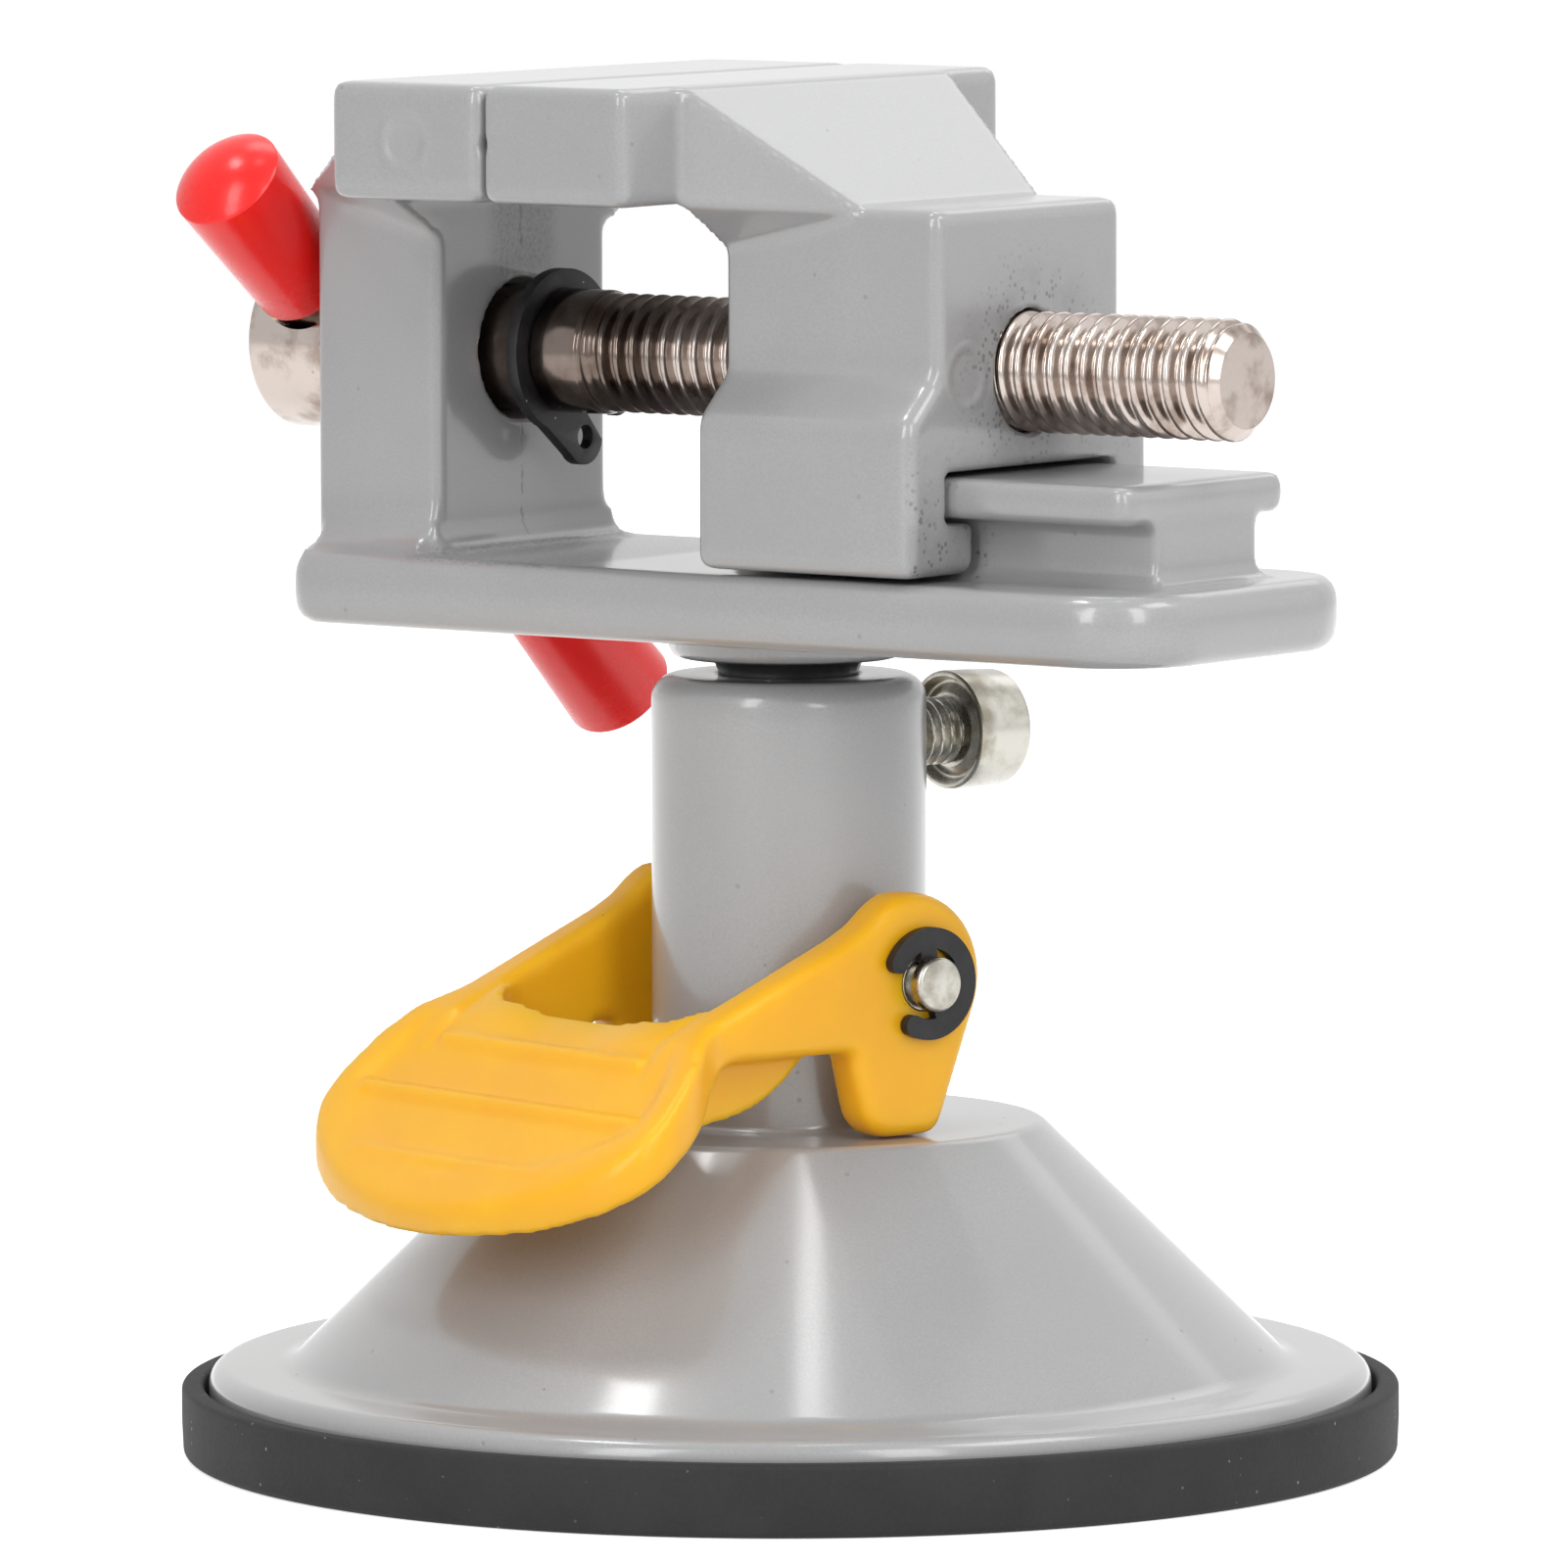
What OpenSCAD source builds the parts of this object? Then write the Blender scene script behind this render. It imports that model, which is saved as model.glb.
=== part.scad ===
// Suction base vise with a swivelling head, a T-rail jaw and a clamp lever.
// Millimetres. Origin at the bench, on the column's axis. +X runs along the head, towards the moving jaw.

/* [Suction cup] */
// Outer diameter of the rubber cup
cup_d = 71; // [68:0.5:76]
// Height of the cup's rim above the bench
cup_rim_h = 4.2; // [3.8:0.1:4.6]
// Thickness of the cup's rim
cup_rim_t = 1.3; // [1:0.1:1.8]
// Thickness of the cup's rubber floor
cup_floor_t = 2.5; // [2:0.1:3]
// Height of the hollow under the cup's middle while it holds
cup_lift = 2.2; // [1.6:0.1:3]
// Diameter of the steel plate on the cup's middle
cup_plate_d = 22; // [18:0.5:26]

/* [Base casting] */
// Thickness of the flange that presses on the cup
flange_t = 2.8; // [2:0.1:3.4]
// Width of the flange's flat rim round the bell
flange_rim_w = 4.7; // [4:0.1:7]
// Diameter of the round ledge on top of the bell
ledge_d = 29.4; // [28:0.2:34]
// Height of the ledge above the bench
ledge_z = 19.5; // [18:0.1:21]
// Wall of the bell
bell_wall = 2.8; // [2:0.1:3.5]
// Diameter of the column
column_d = 16; // [15:0.2:17]
// Height of the column above the ledge
column_h = 26; // [25:0.1:27]

/* [Clamp lever] */
// Direction of the lever, counted from +X
lever_azimuth = -105; // [-130:5:-60]
// Height of the lever's pin above the ledge
pin_rise = 8.95; // [8.6:0.05:9.4]
// Diameter of the lever's pin
pin_d = 3.2; // [2.8:0.1:3.4]
// Thickness of each ear of the lever
ear_t = 4; // [3:0.1:4.6]
// Radius of the ears round the pin
ear_r = 5; // [4.6:0.1:5.4]
// Reach of the lever's pad from the pin
pad_reach = 28.5; // [26:0.5:30]
// Greatest width of the pad
pad_w = 29.4; // [27:0.2:32]
// Thickness of the pad
pad_t = 2.4; // [1.8:0.1:3]
// Drop of the plunger when the lever is lifted
release_drop = 1; // [0.6:0.1:1.2]

/* [Lock screw] */
// Thread diameter of the lock screw
lock_thread_d = 4; // [3:0.5:4]
// Diameter of the lock screw's head
lock_head_d = 7; // [6:0.1:7.2]
// Length of the lock screw's head
lock_head_len = 4; // [3:0.1:5]
// Distance of the head's inner face from the column's axis
lock_reach = 11.7; // [10:0.1:13]

/* [Head casting] */
// Width of the base plate, and of the moving jaw's skirt
plate_w = 23.5; // [22:0.1:25]
// Thickness of the base plate
plate_t = 4.2; // [3.6:0.1:5]
// Reach of the base plate past the rail's front end
plate_over = 3.7; // [3:0.1:6]
// Width of the tower that carries the fixed jaw
tower_w = 16.4; // [14:0.2:18]
// Thickness of the tower along the screw
tower_t = 9.25; // [8:0.05:11]
// Width of the T-rail's flange
rail_w = 16; // [14:0.2:17]
// Thickness of the T-rail's flange
rail_t = 2.3; // [2:0.1:2.6]
// Height of the gap between the base plate and the rail's flange
rail_rise = 3.6; // [3.2:0.1:3.8]
// Width of the T-rail's web
web_w = 9.9; // [8:0.1:11]
// Reach of the T-rail's front end
rail_front_x = 29.7; // [28:0.1:31]
// Reach of the T-rail's back end behind the closed jaw's body
rail_lead = 2; // [0:0.1:3]
// Diameter of the head's stem in the column
stem_d = 8.2; // [7.6:0.1:8.6]

/* [Jaws] */
// Width of both jaws
jaw_w = 36.6; // [34:0.2:40]
// Height of both jaw blocks
jaw_h = 6.8; // [6:0.1:8]
// Height of the jaws' tops above the lead screw
jaw_rise = 16.4; // [16:0.1:18]
// Place of the closed jaw faces along the head
face_x = -8.4; // [-9:0.1:-8]
// Depth of the fixed jaw's block
fixed_jaw_t = 10.95; // [10:0.05:12]
// Depth of the moving jaw's block
moving_jaw_t = 10.4; // [9:0.1:11]
// Width of the moving jaw's upper body
body_w = 18; // [16:0.2:19]
// Length of the moving jaw's body along the screw
body_len = 15.4; // [14:0.1:17]
// Width of the sloping gussets where they leave the jaw blocks
gusset_w = 26.2; // [24:0.2:28]
// Length of the sloping gussets
gusset_len = 9.5; // [8:0.1:11]

/* [Lead screw] */
// Height of the lead screw above the rail's top
screw_over_rail = 5.7; // [5.2:0.1:6.2]
// Thread diameter of the lead screw
screw_d = 7; // [6:0.1:7]
// Pitch of the lead screw
screw_pitch = 1.15; // [1:0.05:1.5]
// Diameter of the smooth shank in the tower
shank_d = 7.3; // [7.1:0.1:7.6]
// Diameter of the screw's head
screw_head_d = 10.4; // [9.6:0.1:11]
// Length of the screw's head
screw_head_len = 7.4; // [7:0.1:8]
// Length of the plain neck from the circlip to the thread
screw_neck_len = 4.45; // [4:0.05:6]
// Reach of the screw's tip past the rail's front end
screw_over = 2.7; // [0:0.1:5]
// Play between the tower and the circlip on the shank
screw_play = 2.4; // [0.5:0.1:2.6]

/* [Handle] */
// Diameter of the handle bar
bar_d = 4; // [3.4:0.1:4.2]
// Distance between the rim seams of the two caps
bar_span = 49; // [46:0.5:54]
// Length of a cap from its small end to its rim seam
cap_len = 9.9; // [9:0.1:12]
// Diameter of a cap at its small end
cap_small_d = 6; // [5.6:0.1:6.4]
// Diameter of a cap at its rim seam
cap_big_d = 6.8; // [6.6:0.1:7.4]
// Tilt of the bar round the screw, counted from +Y
bar_tilt = 139; // [0:1:180]

/* [Hidden] */
$fn = 96;

// Clearances and finishes
run_fit = 0.05;
seat_gap = 0.05;
slide_gap = 0.3;
rest_gap = 0.1;
edge_r = 0.7;
cut_over = 1;
grey = [0.70, 0.70, 0.71];
rubber = [0.20, 0.20, 0.20];
orange = [1.00, 0.68, 0.14];
red = [0.92, 0.16, 0.16];
nickel = [0.76, 0.72, 0.68];
zinc = [0.80, 0.81, 0.79];
black = [0.15, 0.14, 0.14];

// Base casting
column_r = column_d / 2;
cup_r = cup_d / 2;
rim_gap = 0.3;
flange_r = cup_r - cup_rim_t - rim_gap;
seat_z = cup_floor_t + seat_gap;
flange_top_z = seat_z + flange_t;
flange_edge_r = flange_t * 0.4;
bell_low_r = flange_r - flange_rim_w;
ledge_r = ledge_d / 2;
column_top_z = ledge_z + column_h;
pin_z = ledge_z + pin_rise;
bell_slope = atan((ledge_z - flange_top_z) / (bell_low_r - ledge_r));
bell_fillet_r = 4;
ledge_edge_r = 1;
column_edge_r = 1.4;
column_fillet_r = 0.4;
cavity_top_z = ledge_z - bell_wall;
wall_step = bell_wall / sin(bell_slope);
plunger_d = 8.8;
plunger_r = plunger_d / 2;
plunger_above_pin = 4.5;
plunger_top_z = pin_z + plunger_above_pin;
plunger_room = 0.8;
stem_r = stem_d / 2;
partition_t = 2.7;
neck_h = 0.95;
boss_d = 14;
boss_h = 1.45;
boss_bottom_z = column_top_z + neck_h;
stem_bottom_z = plunger_top_z + plunger_room + partition_t;
stem_len = boss_bottom_z - stem_bottom_z;
lock_share = 0.495;
lock_z = boss_bottom_z - lock_share * stem_len;
lock_r = lock_thread_d / 2;
lock_groove_depth = 0.8;
lock_groove_r = stem_r - lock_groove_depth;
lock_pitch = 0.7;
lock_groove_w = lock_thread_d + 2 * slide_gap;
lock_azimuth = lever_azimuth + 180;
pin_r = pin_d / 2;
slot_gap = 0.3;

// Suction cup
cup_contact_r = cup_r * 0.68;
cup_bottom_edge_r = 0.5;
plate_r = cup_plate_d / 2;
cup_plate_t = 1.2;
cup_lip_t = 1.4;
cup_lip_h = cup_plate_t + seat_gap;
cup_middle_z = cup_lift + cup_floor_t;
stud_d = 4;
stud_r = stud_d / 2;
stud_len = 7;
collar_d = 7;
collar_t = 1;
plate_z = cup_middle_z + seat_gap;
collar_z = plate_z + cup_plate_t + seat_gap;
plunger_bottom_z = collar_z + collar_t + seat_gap;

// Lever, in its own frame: X outwards from the pin, Y along the pin, Z up from the pin
ear_gap = 0.5;
ear_in = column_r + ear_gap;
ear_out = ear_in + ear_t;
foot_drop = pin_rise - rest_gap;
foot_edge_r = 2.3;
foot_back_s = 1;
ear_centre_s = 0.6;
ear_centre_z = 0.2;
// Front edge of the foot, as shares of the pad's reach and of the foot's drop
foot_front_shares = [[0.187, -1], [0.2, -0.9], [0.234, -0.47], [0.292, -0.41]];
// Arm, as shares of the pad's reach and of the foot's drop
arm_top_shares = [[0.087, 0.546], [0.6, -0.13], [0.66, -0.28], [0.72, -0.53]];
arm_bottom_shares = [[0.72, -0.78], [0.6, -0.6], [0.534, -0.54]];
// Lower edge of the web inside each arm, as the same shares
web_shares = [[0.27, -0.2], [0.274, -0.5], [0.4, -0.73], [0.525, -0.856], [0.62, -0.86], [0.62, -0.3]];
// Middle line of the pad's top, as the same shares
pad_top_shares = [[0.5, -0.12], [0.607, -0.375], [0.74, -0.68], [0.849, -1.05], [1.02, -1.66]];
// Places of the pad's grip ridges on that line, and their lengths as shares of the pad's width
ridge_line_shares = [[0.607, -0.375], [0.74, -0.68], [0.849, -1.05]];
ridge_len_shares = [0.62, 0.88, 0.62];
ridge_r = 0.6;
pad_waist_share = 0.45;
pad_widest_share = 0.65;
pad_lip_h = 0.9;
pad_lip_w = 1.3;
opening_share = 0.537;
opening_corner_r = 3;
pad_steps = 32;

// Pin and its clips
clip_t = 0.6;
clip_r = 3.25;
clip_relief_r = 2.05;
clip_prong_w = 0.9;
clip_mouth_in = 1.3;
clip_mouth_out = 2.1;
clip_turn = 16;
groove_depth = 0.35;
groove_w = clip_t + 2 * seat_gap;
groove_y = ear_out + seat_gap;
pin_end = 0.8;
pin_half = groove_y + groove_w + pin_end;
pin_chamfer = 0.2;

// Head casting
boss_r = boss_d / 2;
plate_bottom_z = boss_bottom_z + boss_h;
plate_top_z = plate_bottom_z + plate_t;
plate_front_x = rail_front_x + plate_over;
rail_top_z = plate_top_z + rail_rise + rail_t;
screw_z = rail_top_z + screw_over_rail;
jaw_top_z = screw_z + jaw_rise;
plate_front_r = 6;
plate_back_r = 2.5;
plate_edge_r = 1;
jaw_bottom_z = jaw_top_z - jaw_h;
tower_front_x = face_x - fixed_jaw_t;
tower_back_x = tower_front_x - tower_t;
shank_r = shank_d / 2;
counterbore_gap = 0.4;
counterbore_depth = 1.2;
gusset_low = 2.4;
root_side_r = 3;
root_front_r = 1.2;
vee = 0.9;
vee_z = jaw_bottom_z + jaw_h / 2;
mark_r = 1.6;
mark_depth = 0.15;

// Moving jaw
jaw_gap = 0.1;
jaw_back_x = face_x + moving_jaw_t;
body_front_x = jaw_back_x + body_len;
body_top_z = jaw_bottom_z;
skirt_bottom_z = plate_top_z + slide_gap;
flare_top_z = screw_z;
flare_h = 2.5;
web_gap = 0.7;

// Lead screw
thread_r = screw_d / 2;
thread_depth = screw_pitch * 0.61;
thread_crest = screw_pitch / 8;
head_gap = 0.2;
head_front_x = tower_back_x - head_gap;
head_back_x = head_front_x - screw_head_len;
head_r = screw_head_d / 2;
head_edge = 0.4;
circlip_t = 0.75;
circlip_x = tower_front_x + screw_play;
thread_start_x = circlip_x + screw_neck_len;
screw_tip_x = rail_front_x + screw_over;
circlip_groove_depth = 0.5;
circlip_groove_w = circlip_t + 2 * seat_gap;
circlip_r = 4.65;
lug_r = 1.35;
lug_hole_r = 0.65;
lug_reach = 5.2;
circlip_turn = -55;
lug_spread = 24;
circlip_slit = 2;
tip_chamfer = 0.7;
bar_x = (head_back_x + head_front_x) / 2;
bar_r = bar_d / 2;
bar_hole_r = bar_r + run_fit;
sink_r = 3.3;

// Handle
cap_stop_gap = 0.15;
cap_small = head_r + cap_stop_gap;
cap_seam = cap_small + cap_len;
cap_dome = 1.3;
cap_wall = 0.6;
cap_edge_r = 0.6;
bar_low = bar_span - cap_seam;

// Exact rounded rectangle round the origin
module rounded_rect(w, h, r) {
    square([w - 2 * r, h], center = true);
    square([w, h - 2 * r], center = true);
    for (sx = [-1, 1], sy = [-1, 1])
        translate([sx * (w / 2 - r), sy * (h / 2 - r)]) circle(r);
}

// Outline in X and Z, extruded between two places along Y
module along_y(y0, y1) {
    translate([0, y1, 0]) rotate([90, 0, 0]) linear_extrude(y1 - y0) children();
}

// Outline in Y and Z, extruded between two places along X
module along_x(x0, x1) {
    translate([x0, 0, 0]) rotate([90, 0, 90]) linear_extrude(x1 - x0) children();
}

// Profile in X and radius, turned round the lead screw's axis
module round_screw() {
    translate([0, 0, screw_z]) rotate([0, 90, 0]) rotate_extrude() children();
}

// Block with rounded edges between two corners
module soft_block(a, b, r) {
    size = b - a;
    translate((a + b) / 2) intersection() {
        translate([0, 0, -size.z / 2]) linear_extrude(size.z) rounded_rect(size.x, size.y, r);
        along_y(-size.y / 2, size.y / 2) rounded_rect(size.x, size.z, r);
        along_x(-size.x / 2, size.x / 2) rounded_rect(size.y, size.z, r);
    }
}

// Frame of the lever: X outwards, Y along the pin, origin on the pin's axis
module lever_frame() {
    translate([0, 0, pin_z]) rotate([0, 0, lever_azimuth]) children();
}

// Frame of the handle bar: Z along the bar, towards its upper cap
module bar_frame() {
    translate([bar_x, 0, screw_z]) rotate([bar_tilt - 90, 0, 0]) children();
}

// Outer outline of the base casting, in radius and height
module base_outline() {
    ledge_tangent = ledge_edge_r * tan(bell_slope / 2);
    fillet_tangent = bell_fillet_r * tan(bell_slope / 2);
    translate([0, seat_z]) {
        square([flange_r - flange_edge_r, flange_t]);
        square([flange_r, flange_t - flange_edge_r]);
        translate([flange_r - flange_edge_r, flange_t - flange_edge_r]) circle(flange_edge_r);
    }
    polygon([
        [0, seat_z],
        [bell_low_r, seat_z],
        [bell_low_r, flange_top_z],
        [ledge_r + ledge_tangent * cos(bell_slope), ledge_z - ledge_tangent * sin(bell_slope)],
        [ledge_r - ledge_tangent, ledge_z],
        [0, ledge_z]
    ]);
    translate([ledge_r - ledge_tangent, ledge_z - ledge_edge_r]) circle(ledge_edge_r);
    difference() {
        polygon([
            [bell_low_r, flange_top_z],
            [bell_low_r + fillet_tangent, flange_top_z],
            [bell_low_r - fillet_tangent * cos(bell_slope), flange_top_z + fillet_tangent * sin(bell_slope)]
        ]);
        translate([bell_low_r + fillet_tangent, flange_top_z + bell_fillet_r]) circle(bell_fillet_r);
    }
    translate([0, seat_z]) {
        square([column_r - column_edge_r, column_top_z - seat_z]);
        square([column_r, column_top_z - seat_z - column_edge_r]);
    }
    translate([column_r - column_edge_r, column_top_z - column_edge_r]) circle(column_edge_r);
    difference() {
        translate([0, ledge_z]) square([column_r + column_fillet_r, column_fillet_r]);
        translate([column_r + column_fillet_r, ledge_z + column_fillet_r]) circle(column_fillet_r);
    }
}

module base_casting() color(grey) difference() {
    rotate_extrude() intersection() {
        base_outline();
        square([cup_d, column_top_z]);
    }
    bell_cavity();
    cylinder(h = plunger_top_z + plunger_room, r = plunger_r + run_fit);
    translate([0, 0, stem_bottom_z - seat_gap])
        cylinder(h = stem_len + cut_over, r = stem_r + run_fit);
    rotate([0, 0, lock_azimuth]) translate([0, 0, lock_z]) rotate([0, 90, 0])
        cylinder(h = column_d, r = lock_r + run_fit);
    lever_frame() pin_slot();
}

// Hollow of the bell, open at the bottom
module bell_cavity() {
    low_r = bell_low_r + flange_t / tan(bell_slope) - wall_step;
    top_r = ledge_r + bell_wall / tan(bell_slope) - wall_step;
    rotate_extrude() polygon([
        [0, seat_z - cut_over],
        [low_r, seat_z - cut_over],
        [low_r, seat_z],
        [top_r, cavity_top_z],
        [0, cavity_top_z]
    ]);
}

// Upright slot for the pin, through both walls of the column
module pin_slot() {
    slot_r = pin_r + slot_gap;
    along_y(-column_d, column_d) {
        circle(slot_r);
        translate([-slot_r, -release_drop]) square([2 * slot_r, release_drop]);
        translate([0, -release_drop]) circle(slot_r);
    }
}

module suction_cup() color(rubber) rotate_extrude() {
    rim_in = cup_r - cup_rim_t;
    difference() {
        polygon([
            [0, cup_lift],
            [plate_r, cup_lift],
            [cup_contact_r, 0],
            [cup_r - cup_bottom_edge_r, 0],
            [cup_r, cup_bottom_edge_r],
            [cup_r, cup_rim_h],
            [rim_in, cup_rim_h],
            [rim_in, cup_floor_t],
            [cup_contact_r, cup_floor_t],
            [plate_r + run_fit + cup_lip_t, cup_middle_z],
            [plate_r + run_fit + cup_lip_t, cup_middle_z + cup_lip_h],
            [0, cup_middle_z + cup_lip_h]
        ]);
        translate([0, cup_middle_z]) square([plate_r + run_fit, cup_lip_h + cut_over]);
    }
}

module cup_plate() color(zinc) translate([0, 0, plate_z]) difference() {
    cylinder(h = cup_plate_t, r = plate_r);
    translate([0, 0, -cut_over]) cylinder(h = cup_plate_t + 2 * cut_over, r = stud_r + run_fit);
}

module cup_stud() color(zinc) {
    translate([0, 0, plate_z]) cylinder(h = plunger_bottom_z + stud_len - plate_z, r = stud_r);
    translate([0, 0, collar_z]) cylinder(h = collar_t, r = collar_d / 2);
}

module plunger() color(zinc) difference() {
    translate([0, 0, plunger_bottom_z]) cylinder(h = plunger_top_z - plunger_bottom_z, r = plunger_r);
    translate([0, 0, plunger_bottom_z - cut_over])
        cylinder(h = stud_len + cut_over + rest_gap, r = stud_r + run_fit);
    lever_frame() along_y(-plunger_d, plunger_d) circle(pin_r + run_fit);
}

// A point of the lever's side view, from its shares of the pad's reach and the foot's drop
function side_point(share) = [share[0] * pad_reach, share[1] * foot_drop];

// Side view of an ear with its foot and arm
module ear_outline() {
    translate([ear_centre_s, ear_centre_z]) circle(ear_r);
    translate([foot_back_s, foot_edge_r - foot_drop]) circle(foot_edge_r);
    polygon(concat(
        [[ear_centre_s - ear_r, ear_centre_z], [foot_back_s - foot_edge_r, foot_edge_r - foot_drop],
            [foot_back_s, -foot_drop]],
        [for (share = foot_front_shares) side_point(share)],
        [for (i = [len(arm_bottom_shares) - 1 : -1 : 0]) side_point(arm_bottom_shares[i])],
        [for (i = [len(arm_top_shares) - 1 : -1 : 0]) side_point(arm_top_shares[i])],
        [[ear_centre_s, ear_centre_z]]
    ));
}

// Half of the pad's plan: straight arms, a widening and a round end
function pad_half_width(share) =
    share < pad_waist_share ? ear_out :
    share < pad_widest_share ?
        ear_out + (pad_w / 2 - ear_out) * (1 - cos(180 * (share - pad_waist_share)
            / (pad_widest_share - pad_waist_share))) / 2 :
        pad_w / 2 * sqrt(max(0, 1 - pow((share - pad_widest_share) / (1 - pad_widest_share), 2)));

// Plan of the arms and the pad, drawn inside its edge by the inset
module pad_plan(inset) {
    start_share = ear_in / pad_reach;
    shares = [for (i = [0 : pad_steps]) start_share + (1 - start_share) * sin(90 * i / pad_steps)];
    side = [for (share = shares) [share * (pad_reach - inset), max(0, pad_half_width(share) - inset)]];
    polygon(concat(side, [for (i = [len(side) - 2 : -1 : 0]) [side[i].x, -side[i].y]]));
}

// Side view of the pad between its top line and the line below it
module pad_side(lift, depth) {
    top = [for (share = pad_top_shares) side_point(share) + [0, lift]];
    polygon(concat(top, [for (i = [len(top) - 1 : -1 : 0]) top[i] - [depth * 0.35, depth]]));
}

// Plan of the opening round the column
module lever_opening() {
    opening_end = opening_share * pad_reach;
    translate([-opening_end, -ear_in]) square([2 * opening_end - opening_corner_r, 2 * ear_in]);
    translate([0, opening_corner_r - ear_in]) square([opening_end, 2 * (ear_in - opening_corner_r)]);
    for (side = [-1, 1])
        translate([opening_end - opening_corner_r, side * (ear_in - opening_corner_r)]) circle(opening_corner_r);
}

module lever() color(orange) lever_frame() difference() {
    union() {
        along_y(ear_in, ear_out) ear_outline();
        along_y(-ear_out, -ear_in) ear_outline();
        along_y(ear_in, ear_in + ear_t / 2) polygon([for (share = web_shares) side_point(share)]);
        along_y(-ear_in - ear_t / 2, -ear_in) polygon([for (share = web_shares) side_point(share)]);
        intersection() {
            translate([0, 0, -pad_reach]) linear_extrude(2 * pad_reach) pad_plan(0);
            along_y(-pad_w, pad_w) pad_side(0, pad_t);
        }
        intersection() {
            translate([0, 0, -pad_reach]) linear_extrude(2 * pad_reach) difference() {
                pad_plan(0);
                pad_plan(pad_lip_w);
            }
            along_y(-pad_w, pad_w) pad_side(pad_lip_h, pad_t);
        }
        for (i = [0 : len(ridge_line_shares) - 1]) {
            half = ridge_len_shares[i] * pad_w / 2;
            along_y(-half, half) translate(side_point(ridge_line_shares[i])) circle(ridge_r);
        }
    }
    translate([0, 0, -pad_reach]) linear_extrude(2 * pad_reach) lever_opening();
    along_y(-pad_w, pad_w) circle(pin_r + run_fit);
}

module lever_pin() color(zinc) lever_frame() rotate([-90, 0, 0]) rotate_extrude() {
    groove_r = pin_r - groove_depth;
    square_half = pin_half - pin_chamfer;
    polygon([
        [0, -pin_half],
        [pin_r - pin_chamfer, -pin_half],
        [pin_r, -square_half],
        [pin_r, -groove_y - groove_w],
        [groove_r, -groove_y - groove_w],
        [groove_r, -groove_y],
        [pin_r, -groove_y],
        [pin_r, groove_y],
        [groove_r, groove_y],
        [groove_r, groove_y + groove_w],
        [pin_r, groove_y + groove_w],
        [pin_r, square_half],
        [pin_r - pin_chamfer, pin_half],
        [0, pin_half]
    ]);
}

// E-clip, open towards +X before it is turned
module clip_outline() {
    prong_in = pin_r - groove_depth + run_fit;
    difference() {
        circle(clip_r);
        circle(clip_relief_r);
        polygon([
            [0, -clip_mouth_in],
            [clip_r + cut_over, -clip_mouth_out - cut_over],
            [clip_r + cut_over, clip_mouth_out + cut_over],
            [0, clip_mouth_in]
        ]);
    }
    for (turn = [100, 180, 260])
        rotate(turn) translate([prong_in, -clip_prong_w / 2])
            square([(clip_relief_r + clip_r) / 2 - prong_in, clip_prong_w]);
}

module pin_clip(y) color(black) lever_frame()
    along_y(y, y + clip_t) rotate(-clip_turn) clip_outline();

module pin_clip_near() pin_clip(groove_y + seat_gap);

module pin_clip_far() pin_clip(-groove_y - seat_gap - clip_t);

// Thread outline: one crest and one root for each turn, as [length, radius]
function thread_points(start, turns, pitch, crest, r, depth) = [
    for (i = [0 : turns - 1], k = [0 : 2])
        [start + (i + [0, crest / pitch, (1 + crest / pitch) / 2][k]) * pitch, r - (k == 2 ? depth : 0)]
];

module lock_screw() color(zinc) rotate([0, 0, lock_azimuth]) translate([0, 0, lock_z]) rotate([0, 90, 0]) {
    tip = lock_groove_r + rest_gap;
    depth = lock_pitch * 0.61;
    turns = floor((lock_reach - tip) / lock_pitch);
    difference() {
        rotate_extrude() {
            polygon([for (p = concat(
                [[tip, 0], [tip, lock_r - depth]],
                thread_points(tip + lock_pitch / 2, turns - 1, lock_pitch, lock_pitch / 8, lock_r, depth),
                [[lock_reach - edge_r, lock_r], [lock_reach, lock_r], [lock_reach, 0]]
            )) [p[1], p[0]]]);
            translate([0, lock_reach + lock_head_len / 2]) intersection() {
                rounded_rect(lock_head_d, lock_head_len, edge_r / 2);
                translate([0, -lock_head_len / 2]) square(lock_head_d);
            }
        }
        translate([0, 0, lock_reach + lock_head_len / 2])
            cylinder(h = lock_head_len, d = lock_head_d * 0.49, $fn = 6);
    }
}

// Gusset behind a jaw block: starts at x = 0 and slopes down towards +X
module gusset(narrow_w) {
    wide = gusset_w / 2;
    narrow = narrow_w / 2;
    root = edge_r * 2;
    intersection() {
        translate([-root, 0, jaw_bottom_z - cut_over]) linear_extrude(jaw_h + 2 * cut_over) polygon([
            [0, -wide], [root, -wide], [root + gusset_len, -narrow],
            [root + gusset_len, narrow], [root, wide], [0, wide]
        ]);
        along_y(-wide, wide) polygon([
            [-root, jaw_bottom_z], [-root, jaw_top_z - edge_r], [0, jaw_top_z - edge_r / 2],
            [edge_r / 2, jaw_top_z - edge_r / 2], [gusset_len, jaw_bottom_z]
        ]);
    }
    for (side = [-1, 1]) gusset_underside(side, wide, narrow);
    along_y(edge_r - narrow, narrow - edge_r) polygon([
        [-root, jaw_bottom_z - root], [-root, jaw_bottom_z + jaw_h / 2], [edge_r, jaw_bottom_z + jaw_h / 2],
        [gusset_len - 2 * root, jaw_bottom_z + edge_r / 2], [gusset_len - 2 * root, jaw_bottom_z - root]
    ]);
}

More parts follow.
